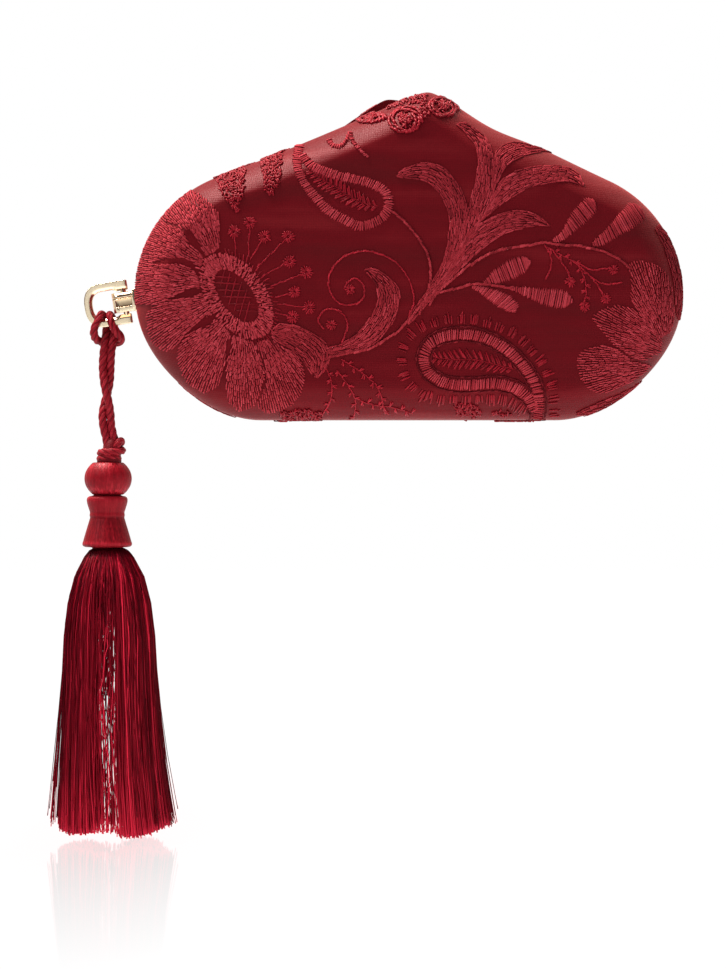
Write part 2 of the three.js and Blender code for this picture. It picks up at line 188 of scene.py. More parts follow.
def shader(name, base, roughness, metallic=0.0, sheen=0.0, specular=0.5, tint=(1.0, 1.0, 1.0)):
    """A Principled material with its plain values on the shader's own sockets."""
    material = bpy.data.materials.new(name)
    material.use_nodes = True
    principled = material.node_tree.nodes["Principled BSDF"]
    principled.inputs["Base Color"].default_value = (*base, 1)
    principled.inputs["Roughness"].default_value = roughness
    principled.inputs["Metallic"].default_value = metallic
    principled.inputs["Sheen Weight"].default_value = sheen
    principled.inputs["Sheen Roughness"].default_value = SHEEN_ROUGHNESS
    principled.inputs["Sheen Tint"].default_value = (*SHEEN_COLOUR, 1)
    principled.inputs["Specular IOR Level"].default_value = specular
    principled.inputs["Specular Tint"].default_value = (*tint, 1)
    return material, principled


def node(owner, kind, **values):
    """A new shader node of a material or world, with its settings and input values; _ stands for a space."""
    made = owner.node_tree.nodes.new(kind)
    for key, value in values.items():
        if hasattr(made, key):
            setattr(made, key, value)
        else:
            made.inputs[key.replace("_", " ")].default_value = value
    return made


def link(owner, source, target):
    """Joins an output to an input in the node tree of a material or world."""
    owner.node_tree.links.new(source, target)


def tone_ramp(material, factor, stops, target):
    """Colours a socket by a ramp over the factor; stops are (place, colour)."""
    ramp = node(material, "ShaderNodeValToRGB")
    elements = ramp.color_ramp.elements
    while len(elements) < len(stops):
        elements.new(0.5)
    for element, (place, colour) in zip(elements, stops):
        element.position = place
        element.color = (*colour, 1)
    link(material, factor, ramp.inputs["Fac"])
    link(material, ramp.outputs["Color"], target)


def stretched_noise(material, scale, size, detail=3.0):
    """Noise on Object coordinates, stretched by a scale per axis."""
    place = node(material, "ShaderNodeTexCoord")
    stretch = node(material, "ShaderNodeMapping", Scale=scale)
    noise = node(material, "ShaderNodeTexNoise", Scale=size, Detail=detail)
    link(material, place.outputs["Object"], stretch.inputs["Vector"])
    link(material, stretch.outputs["Vector"], noise.inputs["Vector"])
    return noise.outputs["Fac"]


def add_bump(material, principled, height, distance, strength):
    """Relief in the shading from a height, which a height of 1 lifts by the distance in metres."""
    bump = node(material, "ShaderNodeBump", Distance=distance, Strength=strength)
    link(material, height, bump.inputs["Height"])
    link(material, bump.outputs["Normal"], principled.inputs["Normal"])


def laid_flat(material, scale):
    """The piece's own flat pattern in metres, stretched by a scale per axis."""
    flat = node(material, "ShaderNodeUVMap", uv_map="UVMap")
    stretch = node(material, "ShaderNodeMapping", Scale=scale)
    link(material, flat.outputs["UV"], stretch.inputs["Vector"])
    return stretch.outputs["Vector"]


def satin_material(name, brown, crimson, glint):
    """Satin under net, on the cloth laid flat: broad level bands from brown to crimson and up to the glint
    colour, partly the cloth's own mottling and partly painted sheen streaks, fine slubs, and a honeycomb of
    net threads that lifts the colour and roughens the shine."""
    material, principled = shader(name, crimson, 0.38, sheen=0.36, specular=0.085, tint=DYED)
    bands = node(material, "ShaderNodeTexNoise", Scale=13, Detail=2.0)
    slubs = node(material, "ShaderNodeTexNoise", Scale=60, Detail=3.0)
    net = node(material, "ShaderNodeTexVoronoi", voronoi_dimensions="2D", feature="DISTANCE_TO_EDGE",
               Scale=1100, Randomness=0.2)
    link(material, laid_flat(material, (1, 7, 1)), bands.inputs["Vector"])
    link(material, laid_flat(material, (1, 22, 1)), slubs.inputs["Vector"])
    link(material, laid_flat(material, (1, 1, 1)), net.inputs["Vector"])
    strand = node(material, "ShaderNodeMapRange", clamp=True, From_Min=0.03, From_Max=0.2,
                  To_Min=0.1, To_Max=0.0)
    link(material, net.outputs["Distance"], strand.inputs["Value"])
    shade = node(material, "ShaderNodeMath", operation="MULTIPLY_ADD")
    shade.inputs[1].default_value = 0.15
    link(material, slubs.outputs["Fac"], shade.inputs[0])
    link(material, bands.outputs["Fac"], shade.inputs[2])
    tint = node(material, "ShaderNodeMath", operation="ADD")
    link(material, shade.outputs["Value"], tint.inputs[0])
    link(material, strand.outputs["Result"], tint.inputs[1])
    # the ramp's light end, the glint colour, is partly painted sheen on the bands
    tone_ramp(material, tint.outputs["Value"], [(0.40, brown), (0.66, crimson), (0.95, glint)],
              principled.inputs["Base Color"])
    height = node(material, "ShaderNodeMath", operation="MULTIPLY_ADD")
    height.inputs[1].default_value = 2.0
    link(material, bands.outputs["Fac"], height.inputs[0])
    link(material, strand.outputs["Result"], height.inputs[2])
    add_bump(material, principled, height.outputs["Value"], 0.0012, 0.3)
    return material


def thread_material(name, dark, middle, light, roughness, specular=0.12, sheen=0.0):
    """Lustrous thread: its colour follows the piece's tone from dark to light, which holds painted light and
    shade as well as the thread's own tone.
    """
    material, principled = shader(name, middle, roughness, sheen=sheen, specular=specular, tint=DYED)
    tone = node(material, "ShaderNodeAttribute", attribute_name="tone")
    tone_ramp(material, tone.outputs["Fac"], [(0.0, dark), (0.5, middle), (1.0, light)],
              principled.inputs["Base Color"])
    fibre = stretched_noise(material, (1, 1, 1), 2600, detail=2.0)
    add_bump(material, principled, fibre, 0.0002, 0.35)
    return material


def hinge_cloth_material():
    """Plain dark satin for the covered hinge: slubs along X on Object coordinates, in colour and relief."""
    material, principled = shader("hinge_cloth", (0.09, 0.004, 0.007), 0.45, specular=0.2, tint=DYED)
    slubs = stretched_noise(material, (1, 9, 9), 120)
    stops = [(0.3, (0.06, 0.003, 0.005)), (0.55, (0.10, 0.004, 0.008)), (0.8, (0.15, 0.008, 0.012))]
    tone_ramp(material, slubs, stops, principled.inputs["Base Color"])
    add_bump(material, principled, slubs, 0.0004, 0.3)
    return material


def gold_material():
    """Pale polished gold, darker and browner where the piece's tone is low, which is painted shade in the
    block's groove and sunk panels, with faint brushing in its gloss.
    """
    material, principled = shader("polished_gold", (0.88, 0.745, 0.53), 0.16, metallic=1.0)
    tone = node(material, "ShaderNodeAttribute", attribute_name="tone")
    stops = [(0.0, (0.20, 0.125, 0.065)), (0.55, (0.66, 0.52, 0.34)), (1.0, (0.88, 0.745, 0.53))]
    tone_ramp(material, tone.outputs["Fac"], stops, principled.inputs["Base Color"])
    brushing = stretched_noise(material, (1, 1, 8), 900)
    gloss = node(material, "ShaderNodeMapRange", clamp=True, To_Min=0.12, To_Max=0.26)
    link(material, brushing, gloss.inputs["Value"])
    link(material, gloss.outputs["Result"], principled.inputs["Roughness"])
    return material


SATIN = satin_material(
    "satin_under_net", (0.086, 0.0056, 0.0082), (0.110, 0.0042, 0.0080), (0.160, 0.011, 0.015))
LINING_CLOTH = satin_material(
    "lining_satin", (0.07, 0.005, 0.007), (0.10, 0.004, 0.008), (0.14, 0.010, 0.014))
HINGE_CLOTH = hinge_cloth_material()
CREWEL = thread_material(
    "crewel_thread", (0.075, 0.0045, 0.0075), (0.265, 0.0195, 0.0285), (0.47, 0.057, 0.077), roughness=0.7)
CRIMSON = thread_material(
    "crimson_thread", (0.10, 0.002, 0.005), (0.22, 0.0045, 0.0125), (0.38, 0.014, 0.029), roughness=0.42,
    specular=0.3)
ROPE = thread_material(
    "cord_thread", (0.09, 0.003, 0.006), (0.23, 0.008, 0.016), (0.44, 0.034, 0.050), roughness=0.5,
    specular=0.2, sheen=0.05)
WINDING = thread_material(
    "wound_thread", (0.075, 0.002, 0.005), (0.215, 0.005, 0.0115), (0.50, 0.025, 0.045), roughness=0.36,
    specular=0.22, sheen=0.06)
TASSEL = thread_material(
    "tassel_thread", (0.056, 0.0010, 0.0050), (0.208, 0.0033, 0.0130), (0.76, 0.024, 0.064), roughness=0.36,
    specular=0.18, sheen=0.02)
GOLD = gold_material()


# Camera, floor and light
def make_camera():
    """A long lens at the height of the picture's middle, square to the seam plane."""
    data = bpy.data.cameras.new("camera")
    data.sensor_fit = "AUTO"
    data.sensor_width = 36.0
    data.lens = 36.0 * CAMERA_DISTANCE / VIEW_HEIGHT
    data.clip_end = 50
    camera = bpy.data.objects.new("camera", data)
    camera.location = (VIEW_CENTRE[0] * MM, -CAMERA_DISTANCE * MM, VIEW_CENTRE[1] * MM)
    camera.rotation_euler = (np.pi / 2, 0, 0)
    bpy.context.scene.collection.objects.link(camera)
    bpy.context.scene.camera = camera


def make_floor():
    """A pale floor that glows evenly, with a faint mirror under the tassel: its share is Fresnel's times one
    that falls with the distance from the tassel's foot, faster along X than along Y. From below it is
    clear."""
    material = bpy.data.materials.new("pale_floor")
    material.use_nodes = True
    nodes = material.node_tree.nodes
    nodes.remove(nodes["Principled BSDF"])
    place = node(material, "ShaderNodeTexCoord")
    away = node(material, "ShaderNodeVectorMath", operation="DISTANCE")
    away.inputs[1].default_value = (MIRROR_SQUEEZE * TASSEL_X * MM, FITTING["y"] * MM, FLOOR_LEVEL * MM)
    narrow = node(material, "ShaderNodeVectorMath", operation="MULTIPLY")
    narrow.inputs[1].default_value = (MIRROR_SQUEEZE, 1, 1)
    fade = node(material, "ShaderNodeMapRange", clamp=True, From_Min=0.02, From_Max=0.42,
                To_Min=0.64, To_Max=0.0)
    fresnel = node(material, "ShaderNodeFresnel", IOR=1.3)
    gloss = node(material, "ShaderNodeMath", operation="MULTIPLY")
    glow = node(material, "ShaderNodeEmission", Color=(1, 1, 1, 1), Strength=1.04)
    mirror = node(material, "ShaderNodeBsdfGlossy", Color=(1.7, 1.26, 1.34, 1), Roughness=0.06)
    blend = node(material, "ShaderNodeMixShader")
    face = node(material, "ShaderNodeNewGeometry")
    clear = node(material, "ShaderNodeBsdfTransparent")
    sided = node(material, "ShaderNodeMixShader")
    link(material, place.outputs["Object"], narrow.inputs[0])
    link(material, narrow.outputs["Vector"], away.inputs[0])
    link(material, away.outputs["Value"], fade.inputs["Value"])
    link(material, fade.outputs["Result"], gloss.inputs[0])
    link(material, fresnel.outputs["Fac"], gloss.inputs[1])
    link(material, gloss.outputs["Value"], blend.inputs["Fac"])
    link(material, glow.outputs["Emission"], blend.inputs[1])
    link(material, mirror.outputs["BSDF"], blend.inputs[2])
    link(material, face.outputs["Backfacing"], sided.inputs["Fac"])
    link(material, blend.outputs["Shader"], sided.inputs[1])
    link(material, clear.outputs["BSDF"], sided.inputs[2])
    link(material, sided.outputs["Shader"], nodes["Material Output"].inputs["Surface"])
    corners = [(x * FLOOR_REACH, y * FLOOR_REACH, FLOOR_LEVEL)
               for x, y in ((-1, -1), (1, -1), (1, 1), (-1, 1))]
    floor = add_piece("floor", corners, [[[0, 1, 2, 3]]], material)


def make_light():
    """A white backdrop, a dimmer warm room that is darkest in front, and soft boxes: one from the upper left,
    two from overhead that catch the shoulders, one from the right, one behind the camera for the gold, and
    one that rises from the pale floor."""
    world = bpy.data.worlds.new("studio")
    bpy.context.scene.world = world
    world.use_nodes = True
    background = world.node_tree.nodes["Background"]
    background.inputs["Color"].default_value = (1, 0.68, 0.64, 1)
    place = node(world, "ShaderNodeTexCoord")
    axes = node(world, "ShaderNodeSeparateXYZ")
    room = node(world, "ShaderNodeMapRange", interpolation_type="SMOOTHSTEP", From_Min=-0.9, From_Max=0.95,
                To_Min=0.05, To_Max=1.0)
    backdrop = node(world, "ShaderNodeBackground", Color=(1, 1, 1, 1))
    ray = node(world, "ShaderNodeLightPath")
    seen = node(world, "ShaderNodeMixShader")
    link(world, place.outputs["Generated"], axes.inputs["Vector"])
    link(world, axes.outputs["Y"], room.inputs["Value"])
    link(world, room.outputs["Result"], background.inputs["Strength"])
    link(world, ray.outputs["Is Camera Ray"], seen.inputs["Fac"])
    link(world, background.outputs["Background"], seen.inputs[1])
    link(world, backdrop.outputs["Background"], seen.inputs[2])
    link(world, seen.outputs["Shader"], world.node_tree.nodes["World Output"].inputs["Surface"])
    for name, spot, aim, size, power, colour in STUDIO_LIGHTS:
        data = bpy.data.lights.new(name, "AREA")
        data.size = size
        data.energy = power
        data.color = colour
        box = bpy.data.objects.new(name, data)
        box.location = spot
        toward = unit(np.array(aim) - np.array(spot))
        box.rotation_euler = (np.arccos(-toward[2]), 0, np.arctan2(-toward[0], toward[1]))
        box.visible_camera = False
        bpy.context.scene.collection.objects.link(box)
    bpy.context.scene.view_settings.view_transform = "Standard"


# Cord
CORD_ROUTE = [
    (-114.2, 0, -7.6), (-115.4, 0, -2.4), (-115.7, -0.2, 2.2), (-116.2, -1.25, 6.2),
    (-117.1, -1.65, 10.2), (-118.1, -1.15, 15), (-118.6, -0.3, 21), (-118.3, -0.5, 26),
    (-117.8, -0.3, 30), (-117.5, 1.7, 33.6), (-117.6, 3.2, 37), (-118.2, 2.6, 40.4),
    (-118.9, 0, 41.6), (-119.5, -2.6, 41), (-120.7, -3.3, 38), (-121.8, -3, 35.2),
    (-121.9, -1.4, 32.9), (-121, 1.3, 31.2), (-119.2, 3.5, 30.5), (-117, 3.8, 30.2),
    (-114.8, 3.7, 30.2), (-112.4, 2.6, 30.6), (-111.65, -0.3, 32), (-113.2, -2.9, 34.4),
    (-115, -3.4, 37.2), (-115.8, -2.6, 40.5), (-115.9, 0, 41.5), (-115.2, 2.6, 40.5),
    (-114.4, 3.2, 37), (-114.5, 1.7, 33.6), (-114.8, -0.3, 30), (-115.4, -0.5, 26),
    (-115.7, 0.3, 21), (-116.1, 1.15, 15), (-117.1, 1.65, 10.2), (-118.1, 1.25, 6.2),
    (-118.75, 0.2, 2.2), (-118.4, 0, -2.4), (-117.2, 0, -7.6),
]
KNOT_ENDS = ((-113.9, 0, -11), (-116.9, 0, -11))
ROPE_PLIES = 4
ROPE_LAY = 12.4                  # length of one full twist, mm
ROPE_STEP = 0.42
ROPE_SIDES = 32
ROPE_DIAMETER = 3.35
PLY_CENTRE = 0.42                # where a ply's circle lies, and its radius, as shares of the rope's radius
PLY_RADIUS = 0.58
HITCH_DIAMETER = 2.75            # where the cord is drawn tight over the bar
HITCH_FOOT = 33.0                # height from which it is


def flecks(rows, cols, row_size, col_size):
    """Random light and dark flecks on a grid that closes across its columns: coarse random values, blended
    evenly between their places."""
    tall, wide = max(int(rows / row_size), 2) + 2, int(cols / col_size)
    coarse = rng.normal(0, 1, (tall, wide))
    r, c = np.arange(rows)[:, None] / row_size, np.arange(cols)[None] * wide / cols
    r0, c0 = np.minimum(r.astype(int), tall - 2), c.astype(int)
    c1, u, v = (c0 + 1) % wide, r - r0, c - c0
    return ((1 - u) * ((1 - v) * coarse[r0, c0] + v * coarse[r0, c1])
            + u * ((1 - v) * coarse[r0 + 1, c0] + v * coarse[r0 + 1, c1]))


def carried_frame(path):
    """Side and up vectors carried along a path without twist: each is the last one reflected twice, in
    the plane between two stations and in the plane between their directions."""
    along = unit(np.gradient(path, axis=0))
    side = np.empty_like(path)
    side[0] = unit(np.cross(along[0], [0.3, 1.0, 0.2]))
    for k in range(len(path) - 1):
        step = path[k + 1] - path[k]
        ahead = side[k] - 2 * step @ side[k] / (step @ step) * step
        turned = along[k] - 2 * step @ along[k] / (step @ step) * step
        fold = along[k + 1] - turned
        side[k + 1] = ahead - 2 * fold @ ahead / max(fold @ fold, 1e-12) * fold
    return side, np.cross(along, side)


def rope(path, diameter, closed_loop=False):
    """Four-ply rope along a path: the section is the outline of the plies' circles, c cos(d) + sqrt(p^2 -
    c^2 sin(d)^2) at angle d from the nearest ply, and it turns once in each lay length. Returns points,
    faces and tone, which is painted shade dark in the grooves and painted light on the plies' crowns, and
    streaked along each ply's yarns."""
    side, up = carried_frame(path)
    run = np.concatenate([[0], np.cumsum(np.linalg.norm(np.diff(path, axis=0), axis=1))])
    turn = np.linspace(0, 2 * np.pi, ROPE_SIDES, endpoint=False)
    lay = 2 * np.pi * run / ROPE_LAY
    if closed_loop:
        lay = lay * np.round(ROPE_PLIES * run[-1] / ROPE_LAY) / (ROPE_PLIES * run[-1] / ROPE_LAY)
    share = 2 * np.pi / ROPE_PLIES
    off = (turn + share / 2) % share - share / 2
    bulge = PLY_CENTRE * np.cos(off) + np.sqrt(PLY_RADIUS ** 2 - (PLY_CENTRE * np.sin(off)) ** 2)
    radius = np.broadcast_to(diameter, len(path))[:, None] / 2 * bulge[None]
    angle = turn[None] + lay[:, None]
    points = (path[:, None] + radius[..., None] * (np.cos(angle)[..., None] * side[:, None]
                                                   + np.sin(angle)[..., None] * up[:, None]))
    # painted light and shade: plies lighter on their crowns, darker in the grooves between them
    crest_shade = smoothstep((bulge - 0.78) / 0.2)
    yarn = 0.14 * np.sin(off * 14 + 5 * turn)[None] * np.cos(run * 0.9)[:, None]
    worn = 0.1 * np.sin(run * 0.37 + 1.0)[:, None] * np.cos(2 * turn + 0.5)[None]
    tone = 0.1 + 0.44 * crest_shade[None] + yarn + worn + 0.12 * flecks(len(path), ROPE_SIDES, 2.0, 1.6)
    faces = [grid_quads(len(path), ROPE_SIDES, True), swept_ends(len(path), ROPE_SIDES)]
    return points.reshape(-1, 3), faces, np.clip(tone, 0, 1)


def make_cord():
    """The doubled cord, hitched round the shackle's lower arm, with both ends in the knot."""
    shift = np.array([0, FITTING["y"], 0])
    points = np.array([KNOT_ENDS[0], *CORD_ROUTE, KNOT_ENDS[1]], dtype=float) + shift
    path = even_route(smooth_route(points, 12), ROPE_STEP)
    tight = smoothstep((path[:, 2] - HITCH_FOOT) / 6)
    path[:, 2] -= 0.3 * smoothstep((path[:, 2] - 38) / 3)
    mesh_points, faces, tone = rope(path, ROPE_DIAMETER + (HITCH_DIAMETER - ROPE_DIAMETER) * tight)
    # painted shadow: the cord darker where it runs behind the bar, above the hitch's foot
    behind = smoothstep((path[:, 1] - FITTING["y"] - 0.4) / 2.4) * smoothstep((path[:, 2] - 29) / 3)
    tone = np.clip(tone - 0.25 * behind[:, None], 0, 1)
    cord = add_piece("twisted_cord", mesh_points, faces, ROPE, tone)
    settle(cord, "shackle", "tassel_cord")


KNOT_TURNS = [
    dict(x=-116.2, z=-14.75, ring=3.5, tilt=2, flat=0.95, thick=2.9),
    dict(x=-115.3, z=-12.35, ring=4.25, tilt=-7, flat=0.95, thick=3.0),
    dict(x=-113.0, z=-9.6, ring=2.1, tilt=-42, flat=1.0, thick=3.0),
]
KNOT_CORE = [(-7.2, -115.4, 1.6), (-9.0, -115.2, 2.9), (-12.0, -115.3, 3.6), (-15.0, -115.9, 4.6),
             (-17.6, -116.4, 4.8)]
KNOT_STATIONS = 80


def make_knot():
    """The knot: rope turns stacked at different tilts, each a ring (R cos t, R sin t) tipped about Y, on a
    core that reaches from the cord into the ball, dark with painted shade between the turns; the core's
    columns are z, x and radius."""
    points, faces, tones, start = [], [], [], 0
    for turn in KNOT_TURNS:
        t = np.linspace(0, 2 * np.pi, KNOT_STATIONS)
        tip = np.radians(turn["tilt"])
        ring = turn["ring"]
        wobble = 0.3 * np.sin(2 * t + turn["z"])
        flat = np.stack([ring * np.cos(t), ring * turn["flat"] * np.sin(t), wobble], axis=1)
        path = np.stack([
            turn["x"] + flat[:, 0] * np.cos(tip) + flat[:, 2] * np.sin(tip),
            FITTING["y"] + flat[:, 1],
            turn["z"] - flat[:, 0] * np.sin(tip) + flat[:, 2] * np.cos(tip),
        ], axis=1)
        ring_points, ring_faces, tone = rope(path, turn["thick"], closed_loop=True)
        points.append(ring_points)
        faces += [block + start for block in ring_faces]
        tones.append(tone.ravel())
        start += len(ring_points)
    z, x, radius = np.array(KNOT_CORE).T
    core_path = np.stack([x, np.full_like(x, FITTING["y"]), z], axis=1)[None]
    core, quads, ends = tube_bundle(core_path, radius[None], 24)
    points.append(core)
    faces += [quads + start, ends + start]
    # painted shade: the core's low tone darkens the gaps between the turns and above the ball
    tones.append(np.full(len(core), 0.08))
    knot = add_piece("knot_turns", np.vstack(points), faces, ROPE, np.concatenate(tones))
    settle(knot, "shackle", "cord_knot")


# Tassel
WAIST_PROFILE = [                # height and radius
    (-26.8, 1.5), (-26.9, 5.0), (-29.0, 5.2), (-29.4, 6.0), (-29.6, 7.0), (-30.1, 7.65), (-31.0, 7.9),
    (-32.4, 7.7), (-34.4, 7.1), (-35.9, 6.65), (-36.3, 6.72), (-36.8, 6.8), (-37.35, 6.75), (-37.6, 6.6),
    (-39.0, 6.95), (-42.0, 7.85), (-45.0, 8.75), (-47.0, 9.3), (-47.9, 9.6), (-48.5, 9.55), (-49.0, 9.1),
    (-49.3, 8.2), (-49.4, 6.0), (-50.6, 5.2), (-50.8, 1.5),
]
WAIST_SHIFT = -0.35
WAIST_SHADE = [                  # height, tone and strength of the flecks: painted light and shade by height, dark at both ends where the waist meets ball and skirt, light at its rims and above its binding, darker on its lower flare, and the flecks are painted glints
    (-50.5, 0.0, 0.0), (-49.2, 0.3, 0.05), (-48.6, 0.45, 0.05), (-47.9, 0.7, 0.05), (-46.8, 0.33, 0.14),
    (-42, 0.26, 0.14), (-38.2, 0.22, 0.10), (-37.5, 0.22, 0.04), (-37.2, 0.5, 0.04), (-36.2, 0.5, 0.04),
    (-35.8, 0.4, 0.06), (-32, 0.48, 0.04), (-30.2, 0.58, 0.05), (-29.8, 0.66, 0.05), (-29.2, 0.0, 0.0),
]
BALL_MIDDLE = -22.7
BALL_PROFILE = [                 # height from its middle and radius
    (6.3, 1.5), (6.3, 4.6), (6.2, 5.8), (5.75, 6.4), (5.0, 7.15), (4.0, 7.9), (3.0, 8.48), (2.0, 8.86),
    (1.0, 9.08), (0.0, 9.15), (-1.0, 9.08), (-2.0, 8.86), (-3.0, 8.48), (-4.0, 7.9), (-5.0, 7.15),
    (-5.75, 6.4), (-6.2, 5.8), (-6.3, 4.6), (-6.3, 1.5),
]
# ball: height, tone and strength of the flecks; painted light and shade by height, dark at the poles where it
# meets knot and waist, with pale bands and painted glint flecks just inside them
BALL_SHADE = [
    (-29.2, 0.1, 0.05), (-28.6, 0.45, 0.27), (-27.6, 0.6, 0.27), (-25.5, 0.46, 0.08), (-21, 0.42, 0.05),
    (-18.6, 0.5, 0.14), (-17.6, 0.62, 0.32), (-16.9, 0.5, 0.3), (-16.3, 0.15, 0.1),
]
WOUND_SIDES = 480
RIDGE_HEIGHT = 0.006             # of the wound thread, as a share of the radius
SKIRT_TOP = -49.6
SKIRT_PROFILE = [                # height and radius
    (-49.6, 5.4), (-50.5, 7.3), (-52.5, 9.0), (-55.5, 10.7), (-59.0, 12.5), (-62.7, 13.9), (-66.0, 14.8),
    (-69.9, 15.5), (-77.0, 16.6), (-84.2, 17.1), (-102.0, 17.7), (-123.8, 19.1), (-138.2, 20.0),
    (-156.0, 21.1), (-163.0, 21.4),
]
SKIRT_DRIFT = [                  # height and how far the skirt hangs to the right there
    (-50, 0.2), (-60, 0.5), (-102, 0.6), (-123.8, 0.7), (-138.2, 1.1), (-156, 1.95), (-163, 2.3),
]
SKIRT_FOOT = [                   # share of the radius from left to right, and height of the threads' ends
    (-1.05, -157.3), (-0.8, -159.2), (-0.55, -158.9), (-0.3, -157.8), (0.0, -157.6), (0.25, -158.4),
    (0.45, -159.6), (0.7, -158.9), (0.9, -157.6), (1.05, -156.2),
]
LOWEST_FOOT = -161.5
SKIRT_THREADS = 2900
CROWN_THREADS = 800
MIDDLE_THREADS = 86
WISP_THREADS = 110
STRAY_THREADS = 22
LOCKS = 34
GAP_HALF = 0.32                  # half width of the thin place along the middle line, as a share of radius
THREAD_STATIONS = 10
MIDDLE_STATIONS = 40
STATION_POWER = 1.6              # crowds a thread's stations towards its top
FOOT_GLOW = (-153.5, 4)          # height from which threads grow brighter downwards by painted light, and over what length
WAIST_SHADOW = (-53.5, 3)        # height from which they grow darker upwards by painted shadow under the waist, and over what length


def wound_form(name, shift, profile, shade, node_name):
    """A turned form wound with upright thread: radius(z) times 1 + a ridge height times two crossed sets of
    ridges, cos(97 turns) and cos(131 turns); tone is the painted light and shade of each height, plus
    painted shade in the ridges' hollows, long streaks, and flecks that are painted glints where the shade
    table makes them strong."""
    turn = np.linspace(0, 2 * np.pi, WOUND_SIDES, endpoint=False)[None]
    z = profile[:, :1]
    lay = turn + 0.010 * np.sin(z * 0.5 + 3 * turn)
    ridges = (0.5 * np.cos(97 * lay + 1.3 * np.sin(7 * turn))
              + 0.5 * np.cos(131 * lay - 0.9 * np.sin(5 * turn)))
    radius = profile[:, 1:] * (1 + RIDGE_HEIGHT * ridges)
    points = np.stack([TASSEL_X + shift + radius * np.cos(turn), FITTING["y"] + radius * np.sin(turn),
                       np.broadcast_to(z, radius.shape)], axis=-1)
    height, plain, flecked = np.array(shade).T
    rows = len(profile)
    streaks = flecks(rows, WOUND_SIDES, 10, 4)
    # painted light and shade by height and in the ridges' hollows, random streaks, and painted glint flecks
    # by height
    tone = np.interp(z, height, plain) + 0.06 * ridges + 0.07 * streaks
    tone = tone + np.interp(z, height, flecked) * flecks(rows, WOUND_SIDES, 1.9, 3)
    faces = [grid_quads(rows, WOUND_SIDES, True)[:, ::-1], swept_ends(rows, WOUND_SIDES)[:, ::-1]]
    form = add_piece(name, points, faces, WINDING, np.clip(tone, 0, 1))
    settle(form, "shackle", node_name)


def make_ball_and_waist():
    """Ball and waist, turned from their profiles, with painted light and shade: the ball is paler and more
    flecked with painted glints near its poles, the waist paler above its binding and at its rim, and both are
    dark where they meet."""
    ball = even_route(smooth_route(BALL_PROFILE, 6), 0.5) + (BALL_MIDDLE, 0)
    wound_form("wound_ball", 0.0, ball, BALL_SHADE, "tassel_ball")
    waist = even_route(smooth_route(WAIST_PROFILE, 6), 0.46)
    wound_form("wound_waist", WAIST_SHIFT, waist, WAIST_SHADE, "tassel_waist")


def skirt_paths(share, turn, spread, lowest, crimp=0.05, stations=THREAD_STATIONS):
    """Threads that hang from under the waist: each follows the skirt's radius at its height, times its own
    share of it, at its own angle, with slow waves and crimp; spread carries it outwards near its foot."""
    count = len(share)
    drop = np.append(0.974 * np.linspace(0, 1, stations - 1) ** STATION_POWER, 1.0)[None]
    z = SKIRT_TOP + drop * (lowest[:, None] - SKIRT_TOP)
    heights, radii = np.array(SKIRT_PROFILE).T
    radius = np.interp(-z, -heights, radii) * share[:, None] + spread[:, None] * drop ** 2.5
    pace, phase = rng.uniform(0.05, 0.12, (count, 1)), rng.uniform(0, 2 * np.pi, (count, 1))
    wave = rng.normal(0, 0.55, (count, 1)) * np.sin(z * pace + phase) + rng.normal(0, crimp, z.shape)
    angle = turn[:, None] + (wave + rng.normal(0, 1.3, (count, 1)) * drop) / np.maximum(radius, 4)
    place, drift = np.array(SKIRT_DRIFT).T
    centre = TASSEL_X + np.interp(-z, -place, drift)
    return np.stack([centre + radius * np.cos(angle), FITTING["y"] + radius * np.sin(angle), z], axis=-1)


def below(paths, level, span):
    """0 above a level, easing to 1 a span beneath it."""
    return smoothstep((level - paths[..., 2]) / span)


def above(paths, level, span):
    """0 beneath a level, easing to 1 a span above it."""
    return smoothstep((paths[..., 2] - level) / span)


def hang_threads(name, paths, thick, tone, node_name=None, frayed=0.5):
    """Thin three-sided tubes along the paths, a little frayed at the foot, as one piece on the shackle."""
    stations = paths.shape[1]
    thick = thick * (1 + frayed * (np.arange(stations) == stations - 1))
    points, quads, ends = tube_bundle(paths, np.broadcast_to(thick, paths.shape[:2]), 3)
    shade = np.repeat(np.clip(tone, 0, 1)[..., None], 3, axis=2)
    threads = add_piece(name, points, [quads, ends], TASSEL, shade)
    settle(threads, "shackle", node_name)


def make_long_threads():
    """The skirt's long threads, spread over its section but few along the middle line, and cut off in
    locks."""
    share = np.sqrt(rng.uniform(0.16, 1.0, 5 * SKIRT_THREADS))
    turn = rng.uniform(0, 2 * np.pi, 5 * SKIRT_THREADS)
    sparse = 1 - 0.985 * np.exp(-((np.cos(turn) * share + 0.03) / GAP_HALF) ** 8)
    kept = rng.uniform(0, 1, len(turn)) < sparse
    share, turn = share[kept][:SKIRT_THREADS], turn[kept][:SKIRT_THREADS]
    lock = (turn / (2 * np.pi) * LOCKS).astype(int)
    across, foot = np.array(SKIRT_FOOT).T
    lowest = np.interp(np.cos(turn) * share, across, foot) + rng.normal(0, 0.6, LOCKS)[lock]
    lowest = np.maximum(lowest + rng.normal(0, 0.55, SKIRT_THREADS), LOWEST_FOOT)
    paths = skirt_paths(share, turn, np.zeros(SKIRT_THREADS), lowest)
    own = 0.41 + rng.normal(0, 0.05, LOCKS)[lock] + rng.normal(0, 0.24, SKIRT_THREADS)
    own = own[:, None] + rng.normal(0, 0.07, paths.shape[:2])
    # painted light: brighter at the cut ends and a little over the crown; painted shadow: darker under the
    # waist
    glow = 0.55 * below(paths, *FOOT_GLOW) + 0.1 * above(paths, -64, 10) - 0.6 * above(paths, *WAIST_SHADOW)
    thick = rng.uniform(0.13, 0.22, (SKIRT_THREADS, 1))
    hang_threads("tassel_threads", paths, thick, own + glow, "tassel_skirt")


